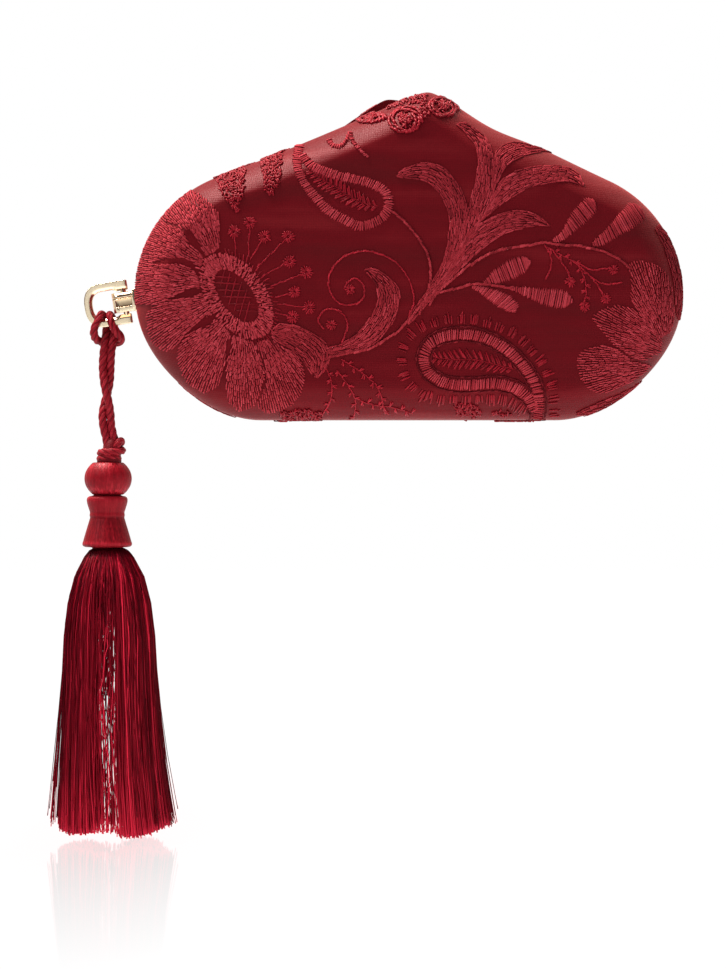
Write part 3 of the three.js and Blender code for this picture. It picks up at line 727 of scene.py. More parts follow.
def make_crown_threads():
    """Short threads over the skirt's crown, bright near its top by painted light and dark under the waist by
    painted shadow, longer over its middle line.
    """
    turn = rng.uniform(0, 2 * np.pi, CROWN_THREADS)
    share = rng.uniform(0.9, 1.02, CROWN_THREADS)
    length = rng.exponential(np.where(np.abs(np.cos(turn)) < GAP_HALF, 16, 9))
    paths = skirt_paths(share, turn, np.full(CROWN_THREADS, -2.0), -58 - np.minimum(length, 50), crimp=0.16)
    own = 0.1 + rng.normal(0, 0.22, (CROWN_THREADS, 1)) + rng.normal(0, 0.24, paths.shape[:2])
    # painted light near the crown's top and painted shadow under the waist
    glow = 0.2 * above(paths, -68, 10) - 0.7 * above(paths, *WAIST_SHADOW)
    hang_threads("crown_threads", paths, 0.18, own + glow)


def make_middle_threads():
    """Fine wavy threads in the thin place along the middle line, with light between them."""
    place = rng.uniform(-0.3, 0.25, MIDDLE_THREADS)
    share = rng.uniform(0.5, 1.0, MIDDLE_THREADS)
    half = np.where(rng.uniform(0, 1, MIDDLE_THREADS) < 0.5, -1, 1)
    lowest = rng.uniform(-159.2, -157.0, MIDDLE_THREADS)
    paths = skirt_paths(share, half * np.arccos(place / share), np.zeros(MIDDLE_THREADS), lowest, crimp=0.24,
                        stations=MIDDLE_STATIONS)
    # painted light: a high tone that stands for light shining through the thin place from behind, brighter
    # still towards the foot
    own = 0.72 + rng.normal(0, 0.22, (MIDDLE_THREADS, 1)) + rng.normal(0, 0.12, paths.shape[:2])
    thick = rng.uniform(0.1, 0.16, (MIDDLE_THREADS, 1))
    hang_threads("middle_threads", paths, thick, own + 0.4 * below(paths, *FOOT_GLOW), frayed=1.6)


def make_loose_threads():
    """Wisps that stand off the skirt, most on the right, and dark strays further out on both sides."""
    turn = rng.normal(0.0, 0.55, WISP_THREADS) + np.pi * (rng.uniform(0, 1, WISP_THREADS) < 0.25)
    paths = skirt_paths(rng.uniform(0.97, 1.03, WISP_THREADS), turn, rng.uniform(0.4, 3.2, WISP_THREADS),
                        rng.uniform(-157.5, -152, WISP_THREADS), crimp=0.1)
    # painted light: wisps brighter towards the foot
    own = 0.3 + rng.normal(0, 0.2, (WISP_THREADS, 1)) + 0.4 * below(paths, -150, 7)
    hang_threads("wisp_threads", paths, 0.14, own)
    side = np.where(rng.uniform(0, 1, STRAY_THREADS) < 0.5, np.pi, 0) + rng.normal(0, 0.5, STRAY_THREADS)
    paths = skirt_paths(np.full(STRAY_THREADS, 1.02), side, rng.uniform(1.0, 4.6, STRAY_THREADS),
                        rng.uniform(-158, -140, STRAY_THREADS))
    hang_threads("stray_threads", paths, 0.15, np.full(paths.shape[:2], 0.02))


# Side fitting
BOW_START = -8.0                 # where the shackle's straight arms end
BOW_OUTER = (7.7, 8.5)           # reach and half height of the bow's outer and inner curves
BOW_INNER = (4.6, 5.3)
BOW_POWER = 0.8                  # below 1 the bow is squarer than an ellipse
BOW_STATIONS = 61
BAR_HALF_DEPTH = 1.5
BAR_SECTION = [(0, -1), (0.64, -1), (1, -0.4), (1, 0.4), (0.64, 1), (0, 1)]  # shares of width and half depth
ARM_STATIONS = (1.9, 1.75, 1.2, -0.6, -2.2, -2.6, -3.0, -3.6, -4.2, -5, -6.5, -7.6)
ARM_INSIDE = [(-1.9, 4.6), (2.4, 4.6), (3.8, 5.3), (8, 5.3)]     # place along the arms, half room between
ARM_ROUNDING = [(-1.9, 0.25), (-1.75, 0.1), (-1.2, 0.0)]         # place along the arms, draw of their edges
PIN_SECTION = [(-7.9, 0.8), (-7.5, 1.1), (7.5, 1.1), (7.9, 0.8)]     # height and radius
PANEL_DEPTH = 0.6                # of the block's sunk panels
BLOCK_ROUNDING = 2.5             # of the block's free edges in plan
PLATE_HALF = 4.3                 # half height of the end plate
PLATE_SECTION = [(-4.2, 0.94), (-4.1, 0.98), (-3.9, 1), (3.9, 1), (4.1, 0.98), (4.2, 0.94)]  # depth and size


def from_fitting(a, y, b):
    """Points of the fitting's own frame, turned by its tilt about Y and set at its pin."""
    c, s = np.cos(FITTING["tilt"]), np.sin(FITTING["tilt"])
    return np.stack([FITTING["x"] + a * c - b * s, FITTING["y"] + y, FITTING["z"] + a * s + b * c], axis=-1)


def rounded_corners(corners, radius, steps=5):
    """A closed outline with each corner replaced by a quadratic arc that starts and ends radius away."""
    corner = np.asarray(corners, dtype=float)
    back = unit(np.roll(corner, 1, axis=0) - corner)
    ahead = unit(np.roll(corner, -1, axis=0) - corner)
    room = 0.45 * np.minimum(np.linalg.norm(np.roll(corner, 1, axis=0) - corner, axis=1),
                             np.linalg.norm(np.roll(corner, -1, axis=0) - corner, axis=1))
    r = np.minimum(radius, room)[:, None, None]
    t = np.linspace(0, 1, steps)[None, :, None]
    mid = corner[:, None]
    start, end = mid + r * back[:, None], mid + r * ahead[:, None]
    return ((1 - t) ** 2 * start + 2 * t * (1 - t) * mid + t ** 2 * end).reshape(-1, 2)


def make_shackle():
    """The D-shaped bar: a chamfered section between an outer and an inner curve, two straight arms joined
    by half superellipses, and a round pin through both arm ends."""
    turn = np.linspace(np.pi / 2, -np.pi / 2, BOW_STATIONS)
    bow = np.stack([-np.abs(np.cos(turn)) ** BOW_POWER,
                    np.sign(turn) * np.abs(np.sin(turn)) ** BOW_POWER], axis=1)
    reach = np.array(ARM_STATIONS)
    width_in, end_round = (np.interp(-reach, *np.array(rows).T) for rows in (ARM_INSIDE, ARM_ROUNDING))
    upper_out = np.stack([reach, BOW_OUTER[1] - end_round], axis=1)
    upper_in = np.stack([reach, width_in + end_round], axis=1)
    flip = np.array([1, -1])
    outer = np.vstack([upper_out, (BOW_START, 0) + bow * BOW_OUTER, (upper_out * flip)[::-1]])
    inner = np.vstack([upper_in, (BOW_START, 0) + bow * BOW_INNER, (upper_in * flip)[::-1]])
    arm_depth = BAR_HALF_DEPTH - end_round
    depth = np.concatenate([arm_depth, np.full(BOW_STATIONS, BAR_HALF_DEPTH), arm_depth[::-1]])
    section = rounded_corners(BAR_SECTION, 0.1)
    across = outer[:, None] + section[None, :, :1] * (inner - outer)[:, None]
    y = section[None, :, 1] * depth[:, None]
    points = from_fitting(across[..., 0], y, across[..., 1])
    rows, cols = y.shape
    start = rows * cols
    height, thick = np.array(PIN_SECTION).T
    pin_path = from_fitting(np.zeros(len(height)), np.zeros(len(height)), height)[None]
    pin, pin_quads, pin_ends = tube_bundle(pin_path, thick[None], 28)
    shackle = add_piece("shackle_bar", np.vstack([points.reshape(-1, 3), pin]),
                        [grid_quads(rows, cols, True)[:, ::-1], swept_ends(rows, cols)[:, ::-1],
                         pin_quads + start, pin_ends + start], GOLD, np.ones(start + len(pin)))
    settle(shackle, "shackle", "d_shackle")


def make_block():
    """The block: its end profile, with a groove under a rolled top and a sunk panel on both faces, carried
    from the free end to the bag; the free edges are rounded in plan, and groove and panels are darker by
    painted shade. The end plate is an outline carried through its depth, its far side following the bag's
    round end."""
    def profile(sunk):
        roll = np.radians(np.linspace(0, 90, 9))
        top = [(0.9 + 2.1 * np.cos(t), 1.8 + 2.1 * np.sin(t)) for t in roll]
        right = [(3, -3.9), (3, -1.95), (3 - sunk, -1.75), (3 - sunk, 0.85), (3, 1.05), (3, 1.3), (2.5, 1.6)]
        left = [(-u, v) for u, v in reversed(right + top)]
        return rounded_corners(right + top + left, 0.16, 4)

    along = np.concatenate([-4.7 + BLOCK_ROUNDING * (1 - np.cos(np.linspace(0, np.pi / 2, 14))),
                            np.linspace(-2.0, 3.7, 40)])
    panel = smoothstep((along + 3.5) / 0.3) * smoothstep((3.0 - along) / 0.3)
    shape = profile(0.0)[None] + panel[:, None, None] * (profile(PANEL_DEPTH) - profile(0.0))[None]
    round_off = 0.5 + np.sqrt(np.maximum(BLOCK_ROUNDING ** 2 - np.maximum(-2.2 - along, 0) ** 2, 0))
    shape = shape * np.stack([round_off / 3.0, np.ones_like(along)], axis=1)[:, None]
    a = np.broadcast_to(along[:, None], shape.shape[:2])
    block = from_fitting(a, shape[..., 0], shape[..., 1])
    rows, cols = a.shape
    c, s = np.cos(FITTING["tilt"]), np.sin(FITTING["tilt"])
    dx, dz = -BASE_HALF - FITTING["x"], END_RADIUS - FITTING["z"]
    middle = (dx * c + dz * s, dz * c - dx * s)
    b = np.linspace(-PLATE_HALF, PLATE_HALF, 9)
    saddle = middle[0] - np.sqrt((END_RADIUS + 0.3) ** 2 - (b - middle[1]) ** 2)
    plate = rounded_corners([(3.5, PLATE_HALF), (3.5, -PLATE_HALF), *zip(saddle, b)], 0.3, 4)
    y, shrink = np.array(PLATE_SECTION).T
    heart = plate.mean(axis=0)
    sections = heart + (plate - heart)[None] * shrink[:, None, None]
    flange = from_fitting(sections[..., 0], np.broadcast_to(y[:, None], sections.shape[:2]), sections[..., 1])
    start = rows * cols
    high = np.broadcast_to(profile(0.0)[None, :, 1], (rows, cols))
    # painted shade: the sunk panels darker, most towards their foot, and a dark band in the groove under the
    # rolled top
    panel_shade = panel[:, None] * smoothstep((1.0 - high) / 0.3) * smoothstep((high + 1.95) / 0.3)
    groove = np.exp(-((high - 1.45) / 0.2) ** 2)
    tone = 1 - panel_shade * (0.5 + 0.3 * smoothstep((-0.2 - high) / 1.6)) - 0.85 * groove
    faces = [grid_quads(rows, cols, True), swept_ends(rows, cols)]
    flange_faces = [(grid_quads(len(y), len(plate), True) + start)[:, ::-1],
                    (swept_ends(len(y), len(plate)) + start)[:, ::-1]]
    fitting = add_piece("side_block", np.vstack([block.reshape(-1, 3), flange.reshape(-1, 3)]),
                        faces + flange_faces, GOLD, np.append(tone, np.ones(flange.size // 3)))
    settle(fitting, "back", "clasp_block")


# Shells
SHELL_SIDES = 480                # points round each ring
BEVEL_RINGS = 22
BEVEL_CROWDING = 1.7             # crowds the bevel's rings towards the edge
FACE_RINGS = 16
INNERMOST = 0.985                # place of the last ring, from the bevel's end towards the middle
STRIP_DEPTHS = (SEAM_HALF_GAP, 0.5, 3, 6, 8.5)
STRIP_FALL = 60.0                # slope that stands for the strip, which is square to the face
LINING_INSET = 2.6               # of the lining from the bevel and face outside it
LINING_START = (2.9, 9.0)        # least inset and depth of the lining
RELIEF_DEPTH = 2.5               # depth to which the hinge's room is cut
RIM = [                          # inset and depth, from the edge to the lining
    (0.3, SEAM_HALF_GAP), (1.6, SEAM_HALF_GAP), (2.85, SEAM_HALF_GAP), (3.1, SEAM_HALF_GAP),
    (4.3, SEAM_HALF_GAP), (4.6, 0.6), (4.6, 5.6), (2.9, 8.8),
]
LIP_SECTION = [(4.4, 5.0), (5.0, 0.4), (5.0, -1.6), (5.6, -1.6), (5.6, 5.0)]     # inset and depth


def outline(peak):
    """The bag's closed outline as x, z points: straight base, two round ends that draw in a little beside
    the base by a squared sine of the angle, and shoulders that are cubic curves, straight at their feet and
    level at the peak, less hollows: each a depth times a bell of the distance along X from its middle."""
    right_normal, left_normal = np.pi / 2 - RIGHT_SLOPE, np.pi / 2 + LEFT_SLOPE
    right_foot, left_foot = (
        np.array([x + END_RADIUS * np.cos(normal), END_RADIUS * (1 + np.sin(normal))])
        for x, normal in ((BASE_HALF, right_normal), (-BASE_HALF, left_normal)))
    top = np.array([peak["x"], peak["z"]])
    right_along = right_foot + peak["right_reach"] * np.array([-np.sin(right_normal), np.cos(right_normal)])
    left_along = left_foot + peak["left_reach"] * np.array([np.sin(left_normal), -np.cos(left_normal)])

    def cubic(p0, p1, p2, p3):
        t = np.linspace(0, 1, 160, endpoint=False)[:, None]
        return (1 - t) ** 3 * p0 + 3 * t * (1 - t) ** 2 * p1 + 3 * t ** 2 * (1 - t) * p2 + t ** 3 * p3

    def arc(x, start, end):
        t = np.linspace(start, end, 260, endpoint=False)
        rise = np.minimum(np.abs(t + np.pi / 2), np.abs(t - 1.5 * np.pi)) / CORNER_SPAN
        r = END_RADIUS - CORNER_CUT * np.sin(np.pi * np.minimum(rise, 1)) ** 2
        return np.stack([x + r * np.cos(t), END_RADIUS + r * np.sin(t)], axis=1)

    base = np.stack([np.linspace(-BASE_HALF, BASE_HALF, 160, endpoint=False), np.zeros(160)], axis=1)
    right = cubic(right_foot, right_along, top + [peak["right_round"], 0], top)
    left = cubic(top, top - [peak["left_round"], 0], left_along, left_foot)
    shoulders = np.vstack([right, left])
    for middle, half, depth in peak["hollows"]:
        shoulders[:, 1] -= depth * np.exp(-((shoulders[:, 0] - middle) / half) ** 2)
    return np.vstack([base, arc(BASE_HALF, -np.pi / 2, right_normal), shoulders,
                      arc(-BASE_HALF, left_normal, 1.5 * np.pi)])


def polar_outline(peak):
    """The outline as radius, slope and reach per angle about the face's middle. reach is the radius times
    the cosine between the radius and the outline's normal, so (1 - r / radius) reach is the inset in mm."""
    points = outline(peak) - np.array(POLE)
    angle = np.arctan2(points[:, 1], points[:, 0])
    order = np.argsort(angle)
    turn = np.linspace(-np.pi, np.pi, 1440, endpoint=False)
    radius = np.interp(turn, angle[order], np.hypot(*points[order].T), period=2 * np.pi)
    slope = (np.roll(radius, -1) - np.roll(radius, 1)) / (2 * (turn[1] - turn[0]))
    soft = np.exp(-np.linspace(-2.5, 2.5, 61) ** 2)
    slope = np.convolve(np.concatenate([slope[-30:], slope, slope[:30]]), soft / soft.sum(), mode="valid")
    return turn, radius, slope, radius ** 2 / np.hypot(radius, slope)


POLAR = {side: polar_outline(peak) for side, peak in PEAKS.items()}


def around(side, angle):
    """The outline's radius, slope and reach at each angle about the face's middle."""
    turn, *tables = POLAR[side]
    return [np.interp(angle, turn, table, period=2 * np.pi) for table in tables]


def depth_at(inset):
    """Depth of the shell from the seam plane: the flat strip, then a superellipse bevel, then
    a slight crown to the middle."""
    bevel = np.clip(inset / BEVEL_WIDTH, 0, 1)
    rise = np.maximum(1 - (1 - bevel) ** BEVEL_POWER, 0) ** (1 / BEVEL_POWER)
    return WALL_DEPTH + BEVEL_DEPTH * rise + CROWN * smoothstep(inset / 48)


def on_shell(side, x, z, lift):
    """Points that stand lift off the shell along its normal, and the normals. Inside the outline x, z is a
    place on the face; past the outline it runs on round the edge, down the flat strip to the seam."""
    dx, dz = x - POLE[0], z - POLE[1]
    angle = np.arctan2(dz, dx)
    edge, bend, deep = around(side, angle)
    inset = (1 - np.hypot(dx, dz) / edge) * deep
    held = np.where(inset < 0, edge / np.maximum(np.hypot(dx, dz), 1e-6), 1.0)
    face = np.maximum(inset, 0)
    fall = np.where(inset < 0, STRIP_FALL, (depth_at(face + 0.2) - depth_at(face)) / 0.2)
    out = unit(np.stack([edge * np.cos(angle) + bend * np.sin(angle),
                         edge * np.sin(angle) - bend * np.cos(angle)], axis=-1))
    normal = unit(np.stack([out[..., 0] * fall, np.full_like(x, float(side)), out[..., 1] * fall], axis=-1))
    depth = np.where(inset < 0, np.maximum(WALL_DEPTH + inset, 0.5), depth_at(face))
    foot = np.stack([POLE[0] + dx * held, side * depth, POLE[1] + dz * held], axis=-1)
    return foot + normal * np.asarray(lift)[..., None], normal


def make_shell(side, name, node_name, body):
    """One shell as rings about its middle: lining face, lining wall, rim, outer strip, bevel and face. A ring
    at an inset lies at radius times (1 - inset / reach). Low on the base the rim stands back from the seam,
    which leaves the groove of the hinge rod and room to turn."""
    turn = np.linspace(-np.pi, np.pi, SHELL_SIDES, endpoint=False)
    edge, _, deep = around(side, turn)
    level = np.ones(SHELL_SIDES)
    bevel = BEVEL_WIDTH * np.linspace(0, 1, BEVEL_RINGS) ** BEVEL_CROWDING
    inward = np.linspace(0, INNERMOST, FACE_RINGS + 1)[1:]
    outer = np.vstack([bevel[:, None] * level, BEVEL_WIDTH + (deep - BEVEL_WIDTH)[None] * inward[:, None]])
    rings = [(0 * level, y * level) for y in STRIP_DEPTHS] + [(inset, depth_at(inset)) for inset in outer]
    rim = [(inset * level, y * level) for inset, y in RIM]
    lining = [(np.minimum(np.maximum(inset + LINING_INSET, LINING_START[0]), deep * INNERMOST),
               np.maximum(depth_at(inset) - LINING, LINING_START[1])) for inset in outer[4::3]]
    inset, depth = (np.stack(parts) for parts in zip(*(lining[::-1] + rim[::-1] + rings)))
    r = edge * (1 - inset / deep)
    x, z = POLE[0] + r * np.cos(turn), POLE[1] + r * np.sin(turn)
    for height, half_length, clear in (HINGE_RELIEF, HINGE_GROOVE):
        low = (depth < RELIEF_DEPTH) & (z < height) & (np.abs(x) < half_length)
        depth = np.where(low, np.maximum(depth, clear + 0.3 * (depth - SEAM_HALF_GAP)), depth)
    points = np.stack([x, side * depth, z], axis=-1)
    middle = [[POLE[0], side * depth[end].mean(), POLE[1]] for end in (0, -1)]
    rows = len(points)
    here = np.arange(SHELL_SIDES)
    following = (here + 1) % SHELL_SIDES
    hub = np.full(SHELL_SIDES, rows * SHELL_SIDES)
    last_row = (rows - 1) * SHELL_SIDES
    quads = grid_quads(rows, SHELL_SIDES, True)
    faces = [quads, np.stack([hub, following, here], axis=1),
             np.stack([hub + 1, here + last_row, following + last_row], axis=1)]
    if side > 0:
        faces = [block[:, ::-1] for block in faces]
    steps = np.hypot(np.diff(r, axis=0), np.diff(depth, axis=0))
    laid = r[-1] + np.concatenate([np.cumsum(steps[::-1], axis=0)[::-1], np.zeros((1, SHELL_SIDES))])
    laid[:len(lining)] = r[:len(lining)]
    flat = np.stack([POLE[0] + laid * np.cos(turn), POLE[1] + laid * np.sin(turn)], axis=-1).reshape(-1, 2)
    flat = np.vstack([flat, [POLE, POLE]]) * MM
    shell = add_piece(name, np.vstack([points.reshape(-1, 3), middle]), faces, SATIN, uv=flat)
    shell.data.materials.append(LINING_CLOTH)
    lined = np.zeros(len(shell.data.polygons), dtype=np.int32)
    lined[:(len(lining) + 2) * SHELL_SIDES] = 1
    lined[len(quads):len(quads) + SHELL_SIDES] = 1
    shell.data.polygons.foreach_set("material_index", lined)
    settle(shell, body, node_name)


def make_lip():
    """A thin lip inside the seam, fixed in the back shell and reaching a little into the front one: five
    rings at insets from the outline, joined in a loop, so that no light passes between the shells."""
    turn = np.linspace(-np.pi, np.pi, SHELL_SIDES, endpoint=False)
    edge, _, deep = around(1, turn)
    inset, depth = np.array(LIP_SECTION).T
    r = edge * (1 - inset[:, None] / deep)
    y = np.broadcast_to(depth[:, None], r.shape)
    points = np.stack([POLE[0] + r * np.cos(turn), y, POLE[1] + r * np.sin(turn)], axis=-1)
    here = np.arange(SHELL_SIDES)
    following = (here + 1) % SHELL_SIDES
    last_row = (len(points) - 1) * SHELL_SIDES
    join = np.stack([here + last_row, following + last_row, following, here], axis=1)
    lip = add_piece("seam_lip", points, [grid_quads(len(points), SHELL_SIDES, True), join], HINGE_CLOTH)
    settle(lip, "back")


# Embroidery: places on the front face in mm, x and z; the back repeats them the other way round
PETALS = [
    [(-77, 61.5), (-79.8, 67.2), (-82.3, 70.6), (-86, 72.2), (-90.5, 74.5), (-97, 79), (-95, 86),
     (-89, 90), (-81, 86.5), (-75.5, 82), (-72.5, 77.5), (-72, 71), (-72.5, 64.5)],
    [(-79.5, 56.5), (-82.5, 59.6), (-87, 61.2), (-92, 61), (-97.5, 59.8), (-109, 61), (-107, 73),
     (-98, 79), (-91.5, 73.8), (-86.5, 71.8), (-84.8, 68.6), (-81.8, 64.8), (-78, 61.3)],
    [(-79, 49.5), (-84.5, 49), (-90.5, 46), (-94.5, 44), (-101.5, 43.5), (-110, 46), (-111, 53.5),
     (-108, 61), (-97, 58.6), (-91.5, 58.6), (-86.5, 58.4), (-83, 56.8), (-80.5, 54.5)],
    [(-74.5, 39.5), (-80, 37), (-84, 33), (-86.5, 30), (-89.5, 27), (-93.5, 25.5), (-98, 28.5),
     (-100.5, 34.5), (-100.5, 39.5), (-97.5, 43), (-88.5, 45.5), (-83, 46), (-78.5, 47.5)],
    [(-67.5, 31.5), (-69, 29), (-70, 22), (-71, 16), (-73.5, 11.5), (-78.5, 10), (-83, 12), (-87, 17),
     (-88.5, 22.5), (-87, 28.5), (-83, 32.5), (-77, 35), (-72.5, 37.5)],
    [(-59.5, 29.5), (-57, 23.5), (-54.5, 18), (-56, 11.5), (-58.5, 5.5), (-62, 3), (-65.5, 3), (-69, 6.5),
     (-69.5, 13), (-69, 22), (-67.5, 27.5), (-67, 31.5)],
    [(-52.5, 30.5), (-48, 27), (-43.5, 25), (-40.5, 20.5), (-39.5, 15), (-42, 7.5), (-48, 3), (-54, 2),
     (-58, 4.5), (-55, 11.5), (-54, 18), (-55.5, 23), (-58, 28.5)],
    [(94.5, 30), (90.5, 36), (87, 40.5), (84, 44.5), (84, 52.5), (83.5, 59), (86.5, 60.5), (92, 59.5),
     (97, 56.5), (99.5, 51.5), (100.5, 45.5), (101, 38.5), (99.5, 33)],
    [(96.5, 25.5), (88, 22.5), (79, 27), (72.5, 33.5), (69, 38.5), (72.5, 41.5), (78, 43), (84, 42),
     (89.5, 38), (93.5, 33.5), (96.5, 29.5)],
    [(93, 20.5), (88, 16.5), (79, 11.5), (70.5, 10), (65, 14.5), (63.5, 23.5), (69, 27), (77.5, 27),
     (84.5, 22.5), (91, 21)],
]
RING = dict(x=-65.5, z=46.5, lean=np.radians(-54), inner=(11.4, 5.8), outer=(18.8, 11.3))
CURVED_LEAVES = [
    ([(-30, 24), (-25.5, 24.5), (-19.5, 25.5), (-13, 28.5), (-7.5, 34.5), (-4.5, 40), (-3.5, 44.5),
      (-4, 49.5), (-7, 53), (-9.5, 55), (-14, 57), (-17, 56.5)],
     [(-32, 27), (-27.5, 28), (-22.5, 30.5), (-17.5, 35), (-14, 40), (-12, 45), (-12.5, 49.5),
      (-14.5, 53), (-17, 56.5)]),
    ([(-52.5, 33), (-50, 36), (-45.5, 36), (-40.5, 34.5), (-35, 31.5), (-31, 28), (-30, 23.5),
      (-32, 18.5), (-35, 15.5)],
     [(-52.5, 31), (-50, 29), (-45, 26), (-41, 22.5), (-38, 18), (-36, 15.5)]),
    ([(-1.5, 36), (2, 42), (6, 47.5), (9.5, 53.5), (13, 60.5), (14.5, 67.5), (15, 76), (13.5, 81.5),
      (9.5, 87.5), (4.5, 90.5), (-1, 91), (-5, 92)],
     [(0, 35.5), (4, 40.5), (8.5, 46.5), (13, 53), (17.5, 60), (20.5, 67.5), (22, 74.5), (22, 80),
      (21, 84), (18.5, 89), (14, 94.5), (9, 97), (3.5, 97), (-2, 95), (-5, 92)]),
    ([(17.5, 60), (20.5, 67.5), (22, 78.5), (23.5, 84.5), (25.5, 93), (26, 99), (24.5, 104.5),
      (21.5, 108), (18, 112)],
     [(19, 61.5), (23.5, 69), (28.5, 77.5), (31.5, 84.5), (33, 90.5), (32.5, 96.5), (31.5, 101.5),
      (29.5, 107), (25.5, 110.5), (22, 113), (18, 112)]),
    ([(28.5, 77.5), (31, 84.5), (32, 94.5), (32.5, 101), (35, 104), (39.5, 106), (45.5, 105),
      (56, 103.5)],
     [(29.5, 78.5), (31.5, 84.5), (34, 91), (37, 96), (42, 99), (48, 101.5), (56, 103)]),
    ([(19, 61.5), (23.5, 69), (29, 78.5), (32, 85), (34.5, 90), (39, 93.5), (45.5, 95.5), (54, 96.5),
      (61, 96), (65.5, 92.5), (66, 88.5)],
     [(17.5, 60), (20, 66), (23, 71), (27, 74.5), (31.5, 78.5), (37.5, 83), (45.5, 87.5), (54, 89.5),
      (62, 89.5), (66, 88.5)]),
    ([(8.5, 46.5), (13, 53), (17.5, 61.5), (22, 70.5), (27.5, 74.5), (33.5, 77.5), (42, 79), (48, 77.5),
      (53.5, 73)],
     [(4, 40.5), (11.5, 49), (14.5, 52), (20.5, 57.5), (27.5, 64), (33.5, 68.5), (40.5, 71.5), (48, 72.5),
      (53.5, 73)]),
    ([(95.5, 74.5), (103, 68), (108, 62.5), (110, 49), (105, 38)],
     [(93.5, 72.5), (98, 62.5), (100.8, 51), (101.8, 41), (103.5, 38)]),
    ([(64, 2.5), (73, 7), (81.5, 10.5), (90, 15)],
     [(64, 1.5), (72, 1), (81.5, 4), (90, 12)]),
]
BARRED_LEAVES = [
    [(53.5, 67), (57.5, 71), (61.5, 78), (65, 82.5), (68, 84), (70.5, 82.5), (71, 78.5), (68.5, 75.5),
     (63.5, 71.5), (57.5, 67)],
    [(68.5, 66), (72.5, 70), (77, 75), (81.5, 80), (85, 83), (88.5, 80), (90, 76.5), (85.5, 72.5),
     (80, 69.5), (74.5, 66), (70.5, 65)],
    [(27.5, 51), (31, 55.5), (36, 59.5), (40.5, 61.5), (44, 61.5), (46, 59.5), (44.5, 56), (40, 53),
     (34, 51)],
    [(22.5, 50.5), (28.5, 50), (34.5, 48.5), (39.5, 46), (41.5, 43.5), (40, 40), (35, 41.5), (30.5, 44.5),
     (26, 48)],
    [(36, 50), (43, 50), (50.5, 49.5), (57.5, 49), (61, 47), (62, 44.5), (59, 42), (52.5, 42.5),
     (46.5, 45), (40.5, 48)],
]
BANDS = [
    (3.7, [(-42, 105), (-42.5, 95.5), (-39.5, 89), (-35, 83.5), (-30, 78.5), (-24.5, 75.5), (-19, 73),
           (-14, 74), (-10, 76.5), (-8, 80), (-8, 83.5), (-9.5, 86.5), (-14, 89), (-19.5, 90.5),
           (-26, 92), (-31.5, 93.5), (-37, 96), (-40.5, 100)]),
    (4.4, [(49.5, -1), (49, 8.5), (46.5, 15.5), (41.5, 22), (35, 27.5), (27.5, 31), (20, 32), (12.5, 31),
           (7.5, 28), (5.5, 23), (7, 18), (11.5, 14.5), (17.5, 13), (25.5, 13), (33, 13.5), (39.5, 12),
           (45, 8.5), (48, 4)]),
]
STEMS = [
    [(-6.5, 78.5), (-3, 75.5), (1, 71.5), (5, 66), (7.5, 60.5), (8, 55), (7.5, 49.5), (4, 40.5)],
    [(-30, 23.5), (-22.5, 25), (-15, 26.5), (-10, 29.5), (-4.5, 33), (-1.5, 36), (1, 38.5)],
    [(8, 44), (12, 49), (17.5, 54), (23.5, 58.5), (29.5, 62), (37, 64.5), (44, 65.5), (50.5, 66.5),
     (56.5, 66), (63.5, 65.5), (69.5, 64.5), (75.5, 62.5), (80, 60), (83, 57.5)],
    [(5.5, 44), (9, 47), (19, 49.5), (24, 51), (32.5, 50.5), (38.5, 49.5)],
]
FINE_LINES = [
    [(-24.5, 50), (-22.5, 52.5), (-20, 53), (-17.5, 50.5), (-17, 48), (-18, 45), (-22.5, 43),
     (-27.5, 44.5), (-30.5, 49.5), (-30.5, 53.5), (-28, 58.5), (-23.5, 62), (-17.5, 63.5), (-11.5, 62.5),
     (-5.5, 59.5), (-1.5, 55), (1, 49.5), (1.5, 44), (-0.5, 38)],
    [(-33, 34.5), (-34.5, 37), (-33, 40.5), (-29, 41.5), (-25, 39.5), (-23.5, 35), (-24.5, 31.5),
     (-25.5, 28.5)],
    [(51.5, 65.5), (53.5, 61.5), (53.5, 57), (52, 53.5)],
    [(52.5, 65), (54, 64), (57.5, 59.5), (60, 56), (61, 52.5)],
    [(63, 59), (69.5, 53), (72.5, 49), (74, 46)],
    [(69.5, 53), (74.5, 51), (80, 51.5)],
    [(63, 59.5), (69, 56.5), (75, 57), (77, 56.5)],
]
SPRIGS = [
    [(-31.5, 19), (-29.5, 13.5), (-30, 7), (-33, 2)],
    [(-27, 18), (-23.5, 13), (-20.5, 7), (-21, 1)],
    [(-25, 22), (-19.5, 18.5), (-15, 15), (-12, 12), (-10, 6), (-9.5, 3)],
    [(53.5, 64.5), (57.5, 62), (63, 59), (65.5, 55.5), (67, 50), (66.5, 44)],
    [(-18, 7), (-13, 5.5), (-6, 4.5), (1, 2.5)],
]
STAMENS = [
    ((-60.5, 74.5), (-61, 62)), ((-66.5, 71), (-66, 65)), ((-55, 69), (-60, 61)), ((-46, 69), (-57, 58)),
    ((-45.5, 59.5), (-55, 54.5)), ((-39, 55.5), (-52, 50.5)), ((-43.5, 48), (-50.5, 46)),
    ((-38, 42), (-49.5, 43.5)), ((-44, 38.5), (-50, 40)),
]
SMALL_STARS = [(-22.5, 49), (-29.5, 35.5), (61, 52), (66.5, 42.5), (74.5, 45.5), (77.5, 56.5)]
FRINGES = [
    (1, [(6, 10), (1.5, 13.5), (-1, 18.5), (-1.5, 23.5), (0, 29), (4.5, 33), (10.5, 35.5), (17.5, 36.5),
         (25, 36), (32.5, 34), (39.5, 30.5), (44.5, 26), (49, 20.5), (52, 14.5), (53.5, 8.5), (54, 2.5)]),
    (-1, [(8, 10), (13.5, 8.5), (20, 8.5), (27, 8.5), (33.5, 9), (39, 8), (44, 5)]),
]
